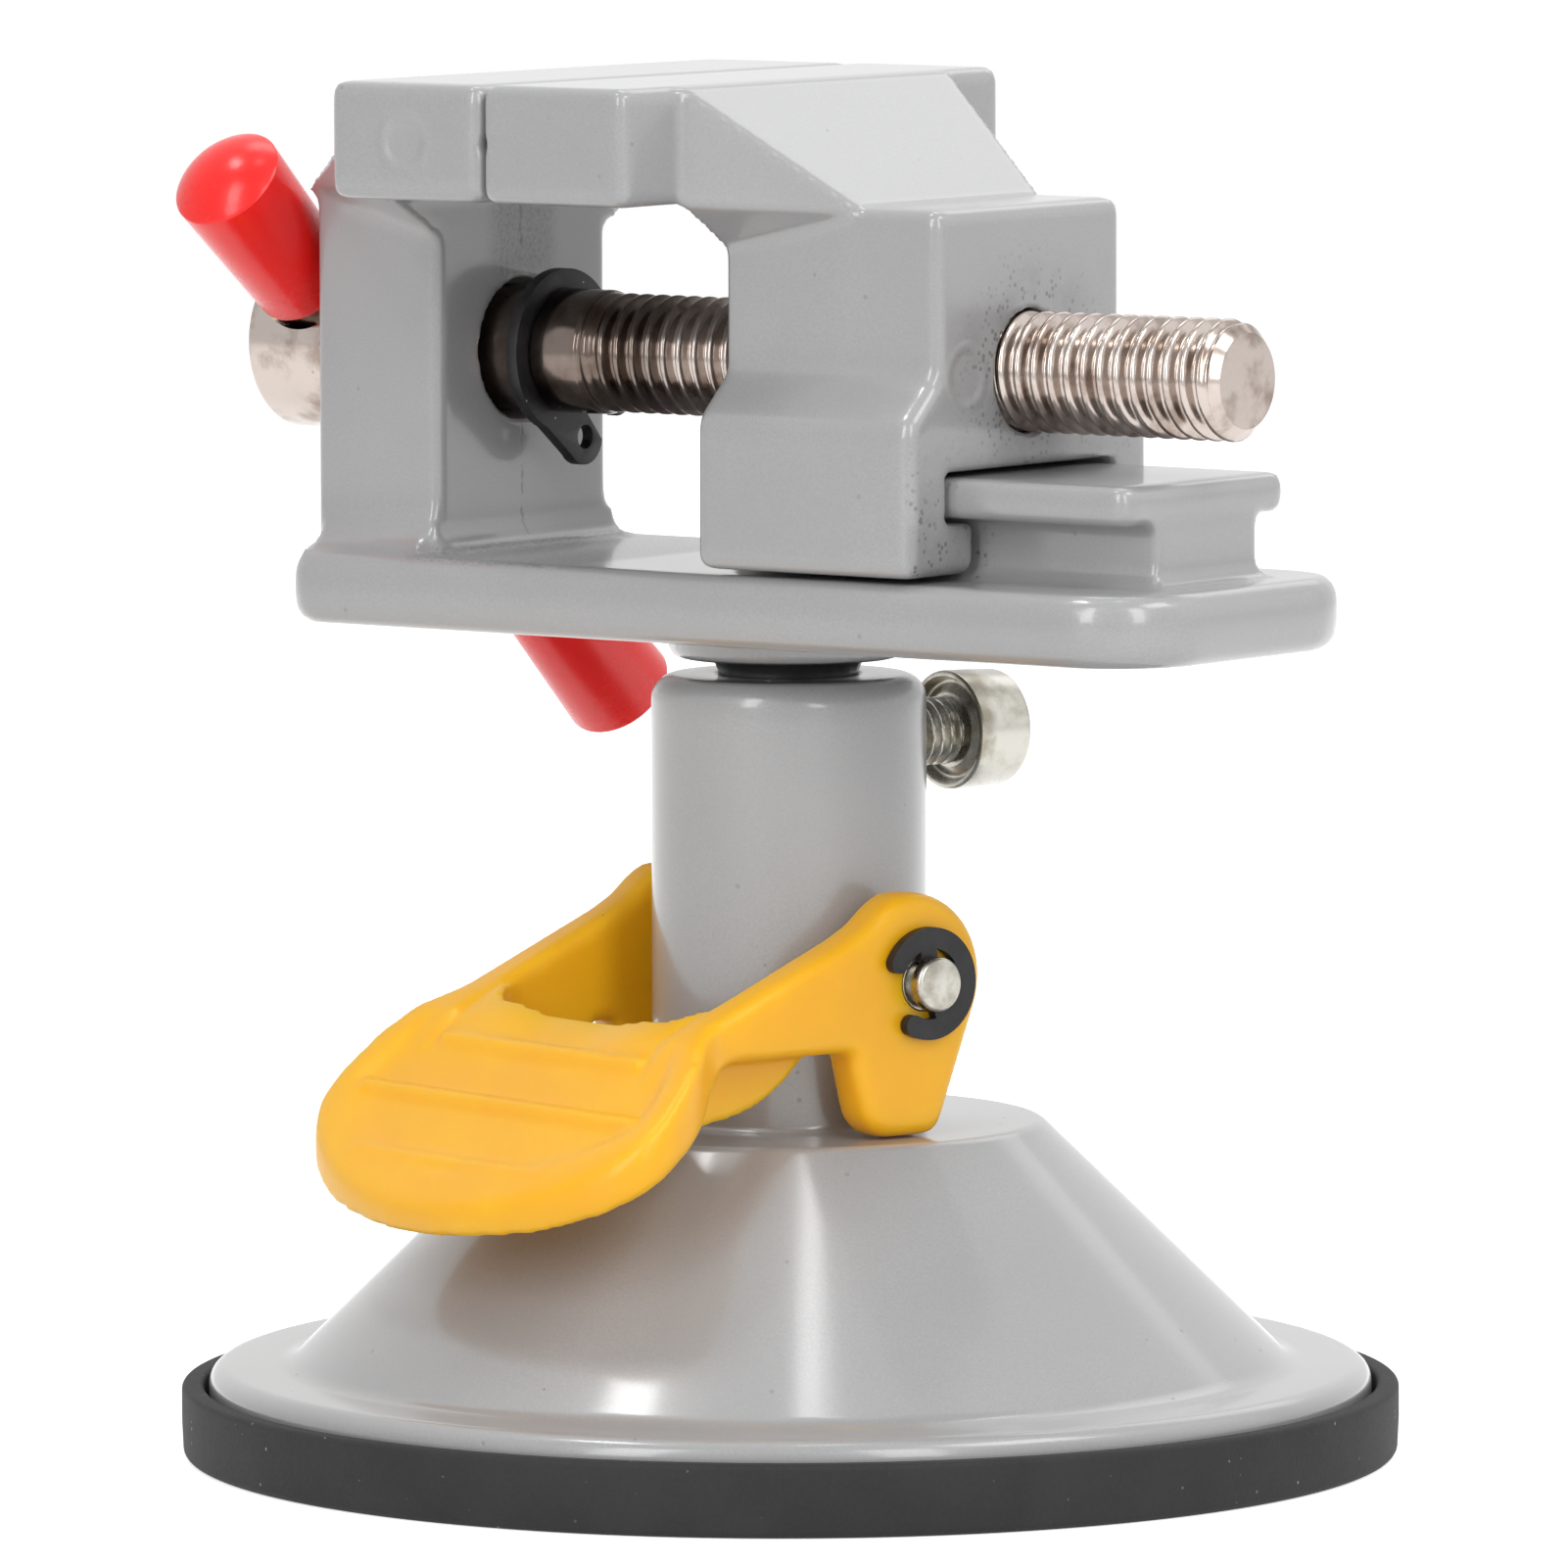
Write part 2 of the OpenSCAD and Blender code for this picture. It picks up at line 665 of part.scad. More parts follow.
// Sloping underside that carries one side of a gusset down to the body
module gusset_underside(side, wide, narrow) {
    points = [
        [0, side * wide, jaw_bottom_z],
        [0, side * (narrow - edge_r), jaw_bottom_z],
        [0, side * (narrow - edge_r), jaw_bottom_z - gusset_low],
        [gusset_len, side * (narrow - edge_r), jaw_bottom_z]
    ];
    order = side > 0 ? [[0, 1, 2], [0, 2, 3], [0, 3, 1], [1, 3, 2]] : [[0, 2, 1], [0, 3, 2], [0, 1, 3], [1, 2, 3]];
    polyhedron(points, order);
}

// Plan of the base plate, with large front corners and small back corners
module plate_plan() {
    half = plate_w / 2;
    front = plate_front_x - plate_front_r;
    back = tower_back_x + plate_back_r;
    translate([back, -half]) square([front - back, plate_w]);
    translate([tower_back_x, plate_back_r - half])
        square([plate_back_r * 2, plate_w - 2 * plate_back_r]);
    translate([front - plate_front_r, plate_front_r - half])
        square([2 * plate_front_r, plate_w - 2 * plate_front_r]);
    for (side = [-1, 1]) {
        translate([back, side * (half - plate_back_r)]) circle(plate_back_r);
        translate([front, side * (half - plate_front_r)]) circle(plate_front_r);
    }
}

// Section of the T-rail
module rail_section() {
    rail_edge = rail_t * 0.3;
    translate([0, rail_top_z - rail_t / 2]) rounded_rect(rail_w, rail_t, rail_edge);
    translate([-web_w / 2, plate_top_z - cut_over]) square([web_w, rail_rise + rail_t / 2 + cut_over]);
}

// Stem that turns in the column, with the lock screw's groove
module stem() {
    rotate_extrude() polygon([
        [0, stem_bottom_z],
        [stem_r - edge_r, stem_bottom_z],
        [stem_r, stem_bottom_z + edge_r],
        [stem_r, lock_z - lock_groove_w / 2],
        [lock_groove_r, lock_z - lock_groove_w / 2],
        [lock_groove_r, lock_z + lock_groove_w / 2],
        [stem_r, lock_z + lock_groove_w / 2],
        [stem_r, boss_bottom_z],
        [boss_r - edge_r, boss_bottom_z],
        [boss_r, boss_bottom_z + edge_r],
        [boss_r, plate_bottom_z + plate_t / 2],
        [0, plate_bottom_z + plate_t / 2]
    ]);
}

module head_casting() color(grey) difference() {
    union() {
        intersection() {
            translate([0, 0, plate_bottom_z]) linear_extrude(plate_t) plate_plan();
            along_x(tower_back_x, plate_front_x)
                translate([0, plate_top_z - plate_t / 2]) rounded_rect(plate_w, plate_t, plate_edge_r);
        }
        stem();
        along_x(jaw_back_x - rail_lead, rail_front_x) rail_section();
        soft_block([tower_back_x, -tower_w / 2, plate_bottom_z + plate_t / 2],
            [tower_front_x, tower_w / 2, body_top_z], edge_r);
        soft_block([tower_front_x, -jaw_w / 2, jaw_bottom_z], [face_x, jaw_w / 2, jaw_top_z], edge_r);
        translate([tower_front_x, 0, 0]) mirror([1, 0, 0]) intersection() {
            gusset(tower_w);
            translate([-tower_t, -gusset_w, 0]) cube([2 * tower_t, 2 * gusset_w, 2 * jaw_top_z]);
        }
        tower_root();
    }
    round_screw() translate([0, tower_back_x - cut_over])
        square([shank_r + run_fit, tower_t + 2 * cut_over]);
    round_screw() translate([0, tower_front_x - counterbore_depth])
        square([shank_r + counterbore_gap, counterbore_depth + cut_over]);
    jaw_vee();
    translate([(tower_front_x + face_x) / 2, -jaw_w / 2 - cut_over, vee_z]) rotate([-90, 0, 0])
        cylinder(h = cut_over + mark_depth, r = mark_r);
}

// Widened foot of the tower on the plate, hollow-rounded at its sides and its front
module tower_root() {
    along_x(tower_back_x + plate_edge_r, tower_front_x - edge_r) for (side = [-1, 1]) difference() {
        translate([side > 0 ? tower_w / 2 - edge_r : -tower_w / 2 - root_side_r, plate_top_z - plate_edge_r])
            square([root_side_r + edge_r, root_side_r + plate_edge_r]);
        translate([side * (tower_w / 2 + root_side_r), plate_top_z + root_side_r]) circle(root_side_r);
    }
    along_y(edge_r - tower_w / 2, tower_w / 2 - edge_r) difference() {
        translate([tower_front_x - edge_r, plate_top_z - plate_edge_r])
            square([edge_r + root_front_r, root_front_r + plate_edge_r]);
        translate([tower_front_x + root_front_r, plate_top_z + root_front_r]) circle(root_front_r);
    }
}

// Shallow V-groove along the middle of both jaw faces
module jaw_vee() {
    along_y(-jaw_w, jaw_w) translate([face_x + jaw_gap / 2, vee_z]) rotate(45) square(vee, center = true);
}

// Section of the moving jaw's body and skirt
module body_section() {
    half = body_w / 2;
    skirt = plate_w / 2;
    polygon([
        [-skirt, skirt_bottom_z], [skirt, skirt_bottom_z], [skirt, flare_top_z - flare_h],
        [half, flare_top_z], [half, body_top_z], [-half, body_top_z],
        [-half, flare_top_z], [-skirt, flare_top_z - flare_h]
    ]);
}

module moving_jaw() color(grey) difference() {
    union() {
        soft_block([face_x + jaw_gap, -jaw_w / 2, jaw_bottom_z], [jaw_back_x, jaw_w / 2, jaw_top_z], edge_r);
        translate([jaw_back_x, 0, 0]) gusset(body_w);
        intersection() {
            along_x(jaw_back_x, body_front_x) body_section();
            translate([(jaw_back_x + body_front_x) / 2, 0, skirt_bottom_z]) linear_extrude(jaw_top_z)
                rounded_rect(body_len, plate_w, edge_r);
        }
        soft_block([jaw_back_x, -body_w / 2, screw_z], [body_front_x, body_w / 2, body_top_z], edge_r);
    }
    along_x(jaw_back_x - cut_over, body_front_x + cut_over) {
        translate([-rail_w / 2 - slide_gap, rail_top_z - rail_t - slide_gap])
            square([rail_w + 2 * slide_gap, rail_t + 2 * slide_gap]);
        translate([-web_w / 2 - web_gap, skirt_bottom_z - cut_over])
            square([web_w + 2 * web_gap, rail_top_z - skirt_bottom_z]);
    }
    round_screw() translate([0, jaw_back_x - cut_over])
        square([thread_r + run_fit, body_len + 2 * cut_over]);
    jaw_vee();
    translate([body_front_x - mark_depth, -body_w * 0.35, screw_z]) rotate([0, 90, 0])
        cylinder(h = cut_over, r = mark_r);
}

module lead_screw() color(nickel) difference() {
    turns = floor((screw_tip_x - tip_chamfer - thread_start_x) / screw_pitch);
    groove_x = circlip_x - seat_gap;
    groove_r = shank_r - circlip_groove_depth;
    round_screw() polygon([for (p = concat(
        [[head_back_x, 0], [head_back_x, head_r - head_edge], [head_back_x + head_edge, head_r],
            [head_front_x - head_edge, head_r], [head_front_x, head_r - head_edge],
            [head_front_x, shank_r],
            [groove_x, shank_r], [groove_x, groove_r],
            [groove_x + circlip_groove_w, groove_r], [groove_x + circlip_groove_w, shank_r],
            [thread_start_x - screw_pitch, shank_r]],
        thread_points(thread_start_x, turns, screw_pitch, thread_crest, thread_r, thread_depth),
        [[screw_tip_x - tip_chamfer, thread_r], [screw_tip_x, thread_r - tip_chamfer], [screw_tip_x, 0]]
    )) [p[1], p[0]]]);
    bar_frame() cylinder(h = 2 * screw_head_d, r = bar_hole_r, center = true);
    bar_frame() for (side = [0, 1]) mirror([0, 0, side])
        translate([0, 0, head_r - (sink_r - bar_hole_r)])
            cylinder(h = sink_r, r1 = bar_hole_r, r2 = bar_hole_r + sink_r);
}

// Retaining ring with two eyelets beside its slit
module circlip_outline() {
    ring_in = shank_r - circlip_groove_depth + run_fit;
    rotate(circlip_turn) difference() {
        union() {
            circle(circlip_r);
            for (side = [-1, 1]) rotate(side * lug_spread) {
                translate([lug_reach, 0]) circle(lug_r);
                translate([ring_in, -lug_r]) square([lug_reach - ring_in, 2 * lug_r]);
            }
        }
        circle(ring_in);
        translate([0, -circlip_slit / 2]) square([lug_reach * 2, circlip_slit]);
        for (side = [-1, 1]) rotate(side * lug_spread) translate([lug_reach, 0]) circle(lug_hole_r);
    }
}

module screw_circlip() color(black)
    along_x(circlip_x, circlip_x + circlip_t) translate([0, screw_z]) circlip_outline();

module handle_bar() color(nickel) bar_frame()
    translate([0, 0, -bar_low + cap_wall]) cylinder(h = bar_low + cap_seam - 2 * cap_wall, r = bar_r);

// Moulded cap: small end at z = 0, bore for the bar, domed end past the rim seam
module handle_cap() {
    small = cap_small_d / 2;
    big = cap_big_d / 2;
    dome_r = (pow(big, 2) + pow(cap_dome, 2)) / (2 * cap_dome);
    difference() {
        rotate_extrude() {
            polygon([
                [0, 0], [small - cap_edge_r, 0], [small, cap_edge_r],
                [big, cap_len], [0, cap_len]
            ]);
            intersection() {
                translate([0, cap_len + cap_dome - dome_r]) circle(dome_r);
                translate([0, cap_len]) square([big, cap_dome]);
            }
        }
        translate([0, 0, -cut_over]) cylinder(h = cap_len - cap_wall + cut_over + seat_gap, r = bar_r + seat_gap);
    }
}

module handle_cap_upper() color(red) bar_frame() translate([0, 0, cap_small]) handle_cap();

module handle_cap_lower() color(red) bar_frame() mirror([0, 0, 1])
    translate([0, 0, bar_low - cap_len]) handle_cap();

base_casting();
suction_cup();
cup_plate();
cup_stud();
plunger();
lever();
lever_pin();
pin_clip_near();
pin_clip_far();
lock_screw();
head_casting();
moving_jaw();
lead_screw();
screw_circlip();
handle_bar();
handle_cap_upper();
handle_cap_lower();
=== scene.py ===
"""Looks of a suction base vise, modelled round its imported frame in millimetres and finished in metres."""
import math

import bmesh
import bpy
from bpy.props import FloatProperty, FloatVectorProperty, PointerProperty
from mathutils import Matrix, Vector


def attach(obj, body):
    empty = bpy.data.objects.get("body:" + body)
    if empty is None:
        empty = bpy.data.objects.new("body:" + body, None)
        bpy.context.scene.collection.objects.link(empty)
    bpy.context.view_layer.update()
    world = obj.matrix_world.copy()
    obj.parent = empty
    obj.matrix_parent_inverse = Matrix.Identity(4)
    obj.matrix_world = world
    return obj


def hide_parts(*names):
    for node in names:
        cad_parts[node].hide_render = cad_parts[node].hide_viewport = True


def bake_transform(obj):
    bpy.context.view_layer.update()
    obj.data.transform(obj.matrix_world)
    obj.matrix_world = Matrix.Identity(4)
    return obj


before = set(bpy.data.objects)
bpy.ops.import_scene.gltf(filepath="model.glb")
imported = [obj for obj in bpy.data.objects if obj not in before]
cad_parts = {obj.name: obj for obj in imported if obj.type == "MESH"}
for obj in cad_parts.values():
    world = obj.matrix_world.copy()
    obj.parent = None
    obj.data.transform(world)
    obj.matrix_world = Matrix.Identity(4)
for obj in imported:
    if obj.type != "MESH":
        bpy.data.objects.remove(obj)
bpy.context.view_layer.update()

bl_info = {
    "name": "Suction base vise",
    "version": (1, 0, 0),
    "blender": (4, 5, 0),
    "location": "View3D > Sidebar > Vise",
    "description": "Models the castings, cup, lever, screws and handle of a small suction base vise",
    "category": "Object",
}

MM = 0.001
TINY = 1e-6
MERGE = 1e-4
LOCK_HEIGHT = 41.5  # of the lock screw's axis above the bench
# The photograph's side, its lens and the column of its picture that the vise's axis falls on, in pixels
PHOTO_SIDE = 1601
PHOTO_FOCAL = 14000
PHOTO_AXIS = 805.55


# Sizes and colours that a user would change

def length(name, description, default):
    """A size in metres, given here in millimetres."""
    return FloatProperty(name=name, description=description, default=default * MM, subtype="DISTANCE",
                         unit="LENGTH", precision=5, min=0.0)


def angle(name, description, default):
    """An angle, given here in degrees."""
    return FloatProperty(name=name, description=description, default=math.radians(default), subtype="ANGLE",
                         unit="ROTATION")


def colour(name, description, default):
    """A colour in linear light, given here as it looks on screen, from 0 to 255."""
    return FloatVectorProperty(name=name, description=description, default=linear(default), subtype="COLOR",
                               size=3, min=0.0, max=1.0)


def linear(rgb):
    """Linear light of a colour given as it looks on screen."""
    parts = [c / 255 for c in rgb]
    return tuple(c / 12.92 if c < 0.04045 else ((c + 0.055) / 1.055) ** 2.4 for c in parts)


class BaseSizes(bpy.types.PropertyGroup):
    """Base casting and suction cup."""

    cup_radius: length("Cup radius", "Outer radius of the rubber cup", 35.5)
    rim_height: length("Rim height", "Height of the cup's rim above the bench", 4.2)
    rim_wall: length("Rim wall", "Thickness of the cup's rim", 1.3)
    flange_radius: length("Flange radius", "Outer radius of the casting's flange", 33.9)
    ledge_radius: length("Ledge radius", "Radius of the round ledge on the bell", 14.7)
    ledge_height: length("Ledge height", "Height of the ledge above the bench", 19.5)
    column_radius: length("Column radius", "Radius of the column", 8.0)
    column_top: length("Column top", "Height of the column's top above the bench", 45.5)


class HeadSizes(bpy.types.PropertyGroup):
    """Head casting and moving jaw."""

    plate_width: length("Plate width", "Width of the base plate and of the jaw's skirt", 23.5)
    plate_top: length("Plate top", "Height of the base plate's top", 52.1)
    jaw_width: length("Jaw width", "Width of both jaws", 36.6)
    jaw_height: length("Jaw height", "Height of both jaw blocks", 6.8)
    jaw_top: length("Jaw top", "Height of the jaws' tops", 80.1)
    grain: length("Casting grain", "Size of the faces on the castings", 0.34)


class ScrewSizes(bpy.types.PropertyGroup):
    """Lead screw, lock screw and handle."""

    screw_height: length("Screw height", "Height of the lead screw's axis", 63.7)
    thread_radius: length("Thread radius", "Outer radius of the lead screw's thread", 3.5)
    pitch: length("Pitch", "Pitch of the lead screw's thread", 1.15)
    bar_radius: length("Bar radius", "Radius of the handle bar", 2.0)
    bar_tilt: angle("Bar tilt", "Tilt of the bar round the screw, from +Y", 139)


class LeverSizes(bpy.types.PropertyGroup):
    """Clamp lever and its pin."""

    pin_height: length("Pin height", "Height of the lever's pin", 28.45)
    pin_radius: length("Pin radius", "Radius of the lever's pin", 1.6)
    ear_gap: length("Ear gap", "Width between the two ears", 19.2)
    ear_span: length("Ear span", "Width over the two ears", 25.0)
    azimuth: angle("Azimuth", "Direction of the lever, from +X", -105)


class Colours(bpy.types.PropertyGroup):
    """Colours of the finishes."""

    paint: colour("Paint", "Grey paint on the castings", (163, 163, 164))
    rubber: colour("Rubber", "Black rubber of the cup", (38, 38, 39))
    lever: colour("Lever", "Orange plastic of the lever", (255, 183, 8))
    caps: colour("Caps", "Red plastic of the handle caps", (255, 22, 18))
    nickel: colour("Nickel", "Warm nickel plating of the lead screw", (184, 173, 166))
    zinc: colour("Zinc", "Bright zinc plating of the small steel pieces", (186, 184, 176))
    oxide: colour("Black oxide", "Black steel of the retaining rings", (35, 34, 36))


class StageLook(bpy.types.PropertyGroup):
    """Floor, light and camera."""

    floor: colour("Floor", "Colour of the floor", (252, 252, 252))
    floor_radius: FloatProperty(name="Floor radius", description="Radius of the floor", default=1.1, unit="LENGTH")
    azimuth: angle("Azimuth", "Camera's angle round the object", 36.6541)
    elevation: angle("Elevation", "Camera's angle above the bench", 5.4645)
    distance: length("Distance", "Distance from the camera to the column's axis", 797.175)


# Shader maths

def put(tree, socket, value):
    """Links a field or an output into a socket, or sets the socket to a value."""
    source = value.socket if isinstance(value, Field) else value
    if isinstance(source, bpy.types.NodeSocket):
        tree.links.new(source, socket)
    elif socket.type == "RGBA":
        socket.default_value = (*source[:3], 1.0)
    else:
        socket.default_value = source


def emptied(owner):
    """The node tree of a material or world, without its nodes."""
    owner.use_nodes = True
    owner.node_tree.nodes.clear()
    return owner.node_tree


def wire(tree, kind, settings, sockets, output=0):
    """Adds a node with its settings and sockets, and gives one of its outputs."""
    node = tree.nodes.new(kind)
    for key, value in settings.items():
        setattr(node, key, value)
    for key, value in sockets.items():
        put(tree, node.inputs[key], value)
    return node.outputs[output] if node.outputs else None


def maths(operation, reflected=False):
    """A method that puts a field and another value through a Math node."""
    def method(self, other):
        first, second = (other, self) if reflected else (self, other)
        return self.finish.add("ShaderNodeMath", {"operation": operation}, {0: first, 1: second})
    return method


class Field:
    """A node's output, which adds Math nodes when it is used in a sum, a product or a comparison."""

    def __init__(self, finish, socket):
        self.finish = finish
        self.socket = socket

    __add__, __radd__ = maths("ADD"), maths("ADD", True)
    __sub__, __rsub__ = maths("SUBTRACT"), maths("SUBTRACT", True)
    __mul__, __rmul__ = maths("MULTIPLY"), maths("MULTIPLY", True)
    __truediv__, __rtruediv__ = maths("DIVIDE"), maths("DIVIDE", True)
    __lt__, larger = maths("LESS_THAN"), maths("MAXIMUM")

    def __abs__(self):
        return self.finish.add("ShaderNodeMath", {"operation": "ABSOLUTE"}, {0: self})

    def between(self, low, high):
        """Runs smoothly from 0 at low to 1 at high."""
        return self.finish.add("ShaderNodeMapRange", {"interpolation_type": "SMOOTHSTEP", "clamp": True},
                               {"Value": self, "From Min": low, "From Max": high})

    def within(self, outer_low, low, high, outer_high):
        """1 between the two middle values and 0 beyond the two outer ones."""
        return self.between(outer_low, low) * (1 - self.between(high, outer_high))


class Finish:
    """A material in the making, with its shader and a pattern space in millimetres."""

    def __init__(self, name, **uniform):
        self.material = bpy.data.materials.new(name)
        self.tree = emptied(self.material)
        self.shader = self.tree.nodes.new("ShaderNodeBsdfPrincipled")
        output = self.tree.nodes.new("ShaderNodeOutputMaterial")
        self.tree.links.new(self.shader.outputs[0], output.inputs[0])
        for socket, value in uniform.items():
            self.set(socket.replace("_", " "), value)
        self.space = self.add("ShaderNodeTexCoord", {}, {}, "Object")

    def add(self, kind, settings, sockets, output=0):
        """Adds a node with its settings and sockets, and gives one of its outputs as a field."""
        return Field(self, wire(self.tree, kind, settings, sockets, output))

    def set(self, socket, value):
        """Sets or links one of the shader's own sockets."""
        put(self.tree, self.shader.inputs[socket], value)

    def noise(self, size, detail=3.0, roughness=0.5, space=None):
        """Noise from 0 to 1 whose spots are about this many millimetres."""
        return self.add("ShaderNodeTexNoise", {}, {"Vector": space or self.space, "Scale": 1 / (size * MM),
                                                   "Detail": detail, "Roughness": roughness})

    def spots(self, spacing, reach, share):
        """Round specks: 1 inside a speck of this reach, on a share of cells this far apart."""
        cells = {"Vector": self.space, "Scale": 1 / (spacing * MM)}
        distance = self.add("ShaderNodeTexVoronoi", {}, cells, "Distance")
        chance = self.add("ShaderNodeTexVoronoi", {}, cells, "Color")
        picked = self.add("ShaderNodeSeparateColor", {}, {"Color": chance}, 0) < share
        return picked * (1 - distance.between(reach / spacing * 0.6, reach / spacing))

    def axis(self, which):
        """Place along X, Y or Z in metres."""
        return self.add("ShaderNodeSeparateXYZ", {}, {"Vector": self.space}, which)

    def distance(self, a, b, centre_a, centre_b):
        """Distance from a centre in a plane."""
        square = (a - centre_a) * (a - centre_a) + (b - centre_b) * (b - centre_b)
        return self.add("ShaderNodeMath", {"operation": "SQRT"}, {0: square})

    def mix(self, factor, first, second):
        """A colour between two others."""
        return self.add("ShaderNodeMix", {"data_type": "RGBA"}, {"Factor": factor, 6: first, 7: second}, 2)

    def done(self, tone, roughness, height, depth, strength):
        """Sets the colour, the roughness and a relief whose full step is this many millimetres."""
        self.set("Base Color", tone)
        self.set("Roughness", roughness)
        self.set("Normal", self.add("ShaderNodeBump", {}, {"Height": height, "Distance": depth * MM,
                                                           "Strength": strength}))
        return self.material


def scaled(rgb, share):
    """A colour made darker or lighter."""
    return tuple(min(1.0, c * share) for c in rgb)


def paint_finish(name, base):
    """Glossy light grey paint on a die casting, with orange peel, pits, mould marks, dust where it gathers and
    painted shade in the gap under the head.
    """
    f = Finish(name, Specular_IOR_Level=0.5, Coat_Weight=0.7, Coat_Roughness=0.12)
    x, y, z = (f.axis(i) / MM for i in range(3))
    screw_z = bpy.context.scene.vise_screws.screw_height / MM
    cloud = f.noise(9, 2)
    peel = f.noise(1.1, 2)
    grain = f.noise(0.13, 3, 0.7)
    pits = f.spots(1.7, 0.17, 0.2)
    specks = f.spots(2.6, 0.12, 0.3) * f.noise(5, 2).between(0.42, 0.6)
    # Dust and soot on the moving jaw's outer face, round the screw and along the low edge
    jaw_face = x.within(16.8, 17.2, 17.6, 18.0)
    near_screw = 1 - f.distance(y, z, 0.0, screw_z).between(4.0, 8.5)
    dirt = (jaw_face * near_screw).larger(jaw_face * z.within(51.8, 52.2, 54, 62))
    dust = f.spots(0.45, 0.17, 0.8) * dirt * f.noise(2.2, 3).between(0.38, 0.55)
    soot = dirt * f.noise(3.5, 4, 0.6).between(0.3, 0.7)
    # The mould's seam and rough casting skin inside the throat
    tower_face = x.within(-19.9, -19.5, -18.9, -18.5)
    seam = tower_face * (1 - abs(y + 0.5 * f.noise(0.8, 2)).between(0.03, 0.2)) * f.noise(0.9, 3).between(0.42, 0.6)
    rail_top = z.within(57.5, 57.9, 58.1, 58.5) * x.within(-18.5, -17.5, -1.0, 0.5)
    deck = z.within(51.7, 52.0, 52.3, 52.8) * x.within(-20.5, -19.0, -9.0, -7.0)
    patch = tower_face * z.between(66.5, 69) * (1 - abs(y).between(2.0, 4.0))
    rough = rail_top.larger(deck).larger(patch)
    # Ejector marks, and painted shade in the gap between the column and the head
    ring = raised_ring(f, x, z, (-13.9, 76.7), 1.55) * (1 - y.between(-18.3, -17.6)) * z.between(73.5, 74)
    disc = raised_ring(f, y, z, (-6.3, screw_z), 1.7) * jaw_face
    neck = z.within(45.2, 45.5, 46.5, 46.7) * (1 - f.distance(x, y, 0.0, 0.0).between(6.5, 7.1))
    tone = f.mix(cloud.between(0.3, 0.7), scaled(base, 0.97), scaled(base, 1.03))
    tone = f.mix(grain.between(0.3, 0.7), scaled(base, 0.9), tone)
    skin = rough * f.noise(0.28, 2, 0.7).between(0.45, 0.62)
    # neck paints the gap under the head almost black: painted shade, not a colour of the paint
    for mask, share, shade in ((pits, 0.35, 0.45), (specks, 0.6, 0.22), (dust, 0.75, 0.3), (soot, 0.4, 0.4),
                               (skin, 0.5, 0.5), (seam, 0.7, 0.3), (neck, 0.9, 0.06)):
        tone = f.mix(mask * share, tone, scaled(base, shade))
    shine = 0.27 + 0.08 * cloud + 0.25 * pits + 0.3 * rough + 0.15 * dirt
    rise = (peel * 0.22 + grain * 0.16 - pits * 0.9 + f.noise(0.3, 3, 0.7) * rough * 2.5
            + ring * 5 + disc * 4 - seam * 0.8)
    return f.done(tone, shine, rise, 0.03, 0.7)


def raised_ring(f, a, b, centre, radius):
    """A soft raised ring round a centre, in millimetres."""
    return 1 - abs(f.distance(a, b, *centre) - radius).between(0.0, 0.55)


def rubber_finish(name, base):
    """Matt black moulded rubber with pale dust and fine tooling marks."""
    f = Finish(name, Specular_IOR_Level=0.35)
    cloud = f.noise(6, 3)
    grain = f.noise(0.25, 3, 0.65)
    dust = f.spots(0.9, 0.12, 0.35) * f.noise(4, 3).between(0.42, 0.62)
    tone = f.mix(cloud.between(0.3, 0.7), scaled(base, 0.85), scaled(base, 1.2))
    tone = f.mix(dust * 0.8, tone, scaled(base, 14.0))
    return f.done(tone, 0.62 + 0.2 * grain, grain + cloud * 0.5, 0.04, 0.6)


def plastic_finish(name, base, roughness, wear):
    """Moulded plastic with a soft skin and slight flow marks."""
    f = Finish(name, Specular_IOR_Level=0.5, Subsurface_Weight=0.4, Subsurface_Scale=0.004,
               Subsurface_Radius=(1.0, 0.3, 0.1))
    flow = f.noise(7, 3)
    skin = f.noise(0.5, 2)
    marks = f.spots(2.3, 0.12, wear)
    tone = f.mix(flow.between(0.3, 0.7), scaled(base, 0.95), scaled(base, 1.04))
    tone = f.mix(marks * 0.5, tone, scaled(base, 0.5))
    return f.done(tone, roughness + 0.08 * flow + 0.05 * skin, skin * 0.5 + flow, 0.05, 0.5)


def plating_finish(name, base, dark, roughness, along, shaded_throat=False):
    """Bright plating on turned steel, with fine rings, stains and small dents, and painted shade and dark reflection
    on the shank inside the throat.
    """
    f = Finish(name, Metallic=1.0)
    stretch = f.add("ShaderNodeMapping", {}, {"Vector": f.space, "Scale": along})
    rings = f.noise(0.6, 2, 0.5, stretch)
    stain = f.noise(2.4, 4, 0.55)
    dents = f.spots(1.5, 0.16, 0.2)
    tone = f.mix(stain.between(0.42, 0.7) * 0.75, base, dark)
    if shaded_throat:
        # Painted shade and reflection of the dark throat between the tower and the jaw, darkening the screw there
        x = f.axis(0) / MM
        inside = x.within(-21, -20, -9, -5)
        tone = f.mix(inside * (0.55 + 0.5 * stain), tone, scaled(dark, 0.45))
    tone = f.mix(dents * 0.35, tone, scaled(dark, 0.6))
    return f.done(tone, roughness + 0.08 * stain + 0.06 * rings + 0.15 * dents,
                  rings * 0.3 + stain * 0.2 - dents * 0.4, 0.02, 0.5)


def oxide_finish(name, base):
    """Black oxide on spring steel, with bright nicks."""
    f = Finish(name, Metallic=0.35, Specular_IOR_Level=0.5)
    cloud = f.noise(1.2, 3)
    nicks = f.spots(0.9, 0.08, 0.18)
    tone = f.mix(cloud.between(0.35, 0.7), scaled(base, 0.75), scaled(base, 1.25))
    tone = f.mix(nicks * 0.8, tone, (0.45, 0.42, 0.4))
    return f.done(tone, 0.42 + 0.15 * cloud, f.noise(0.3, 2), 0.02, 0.6)


FINISHES = {}


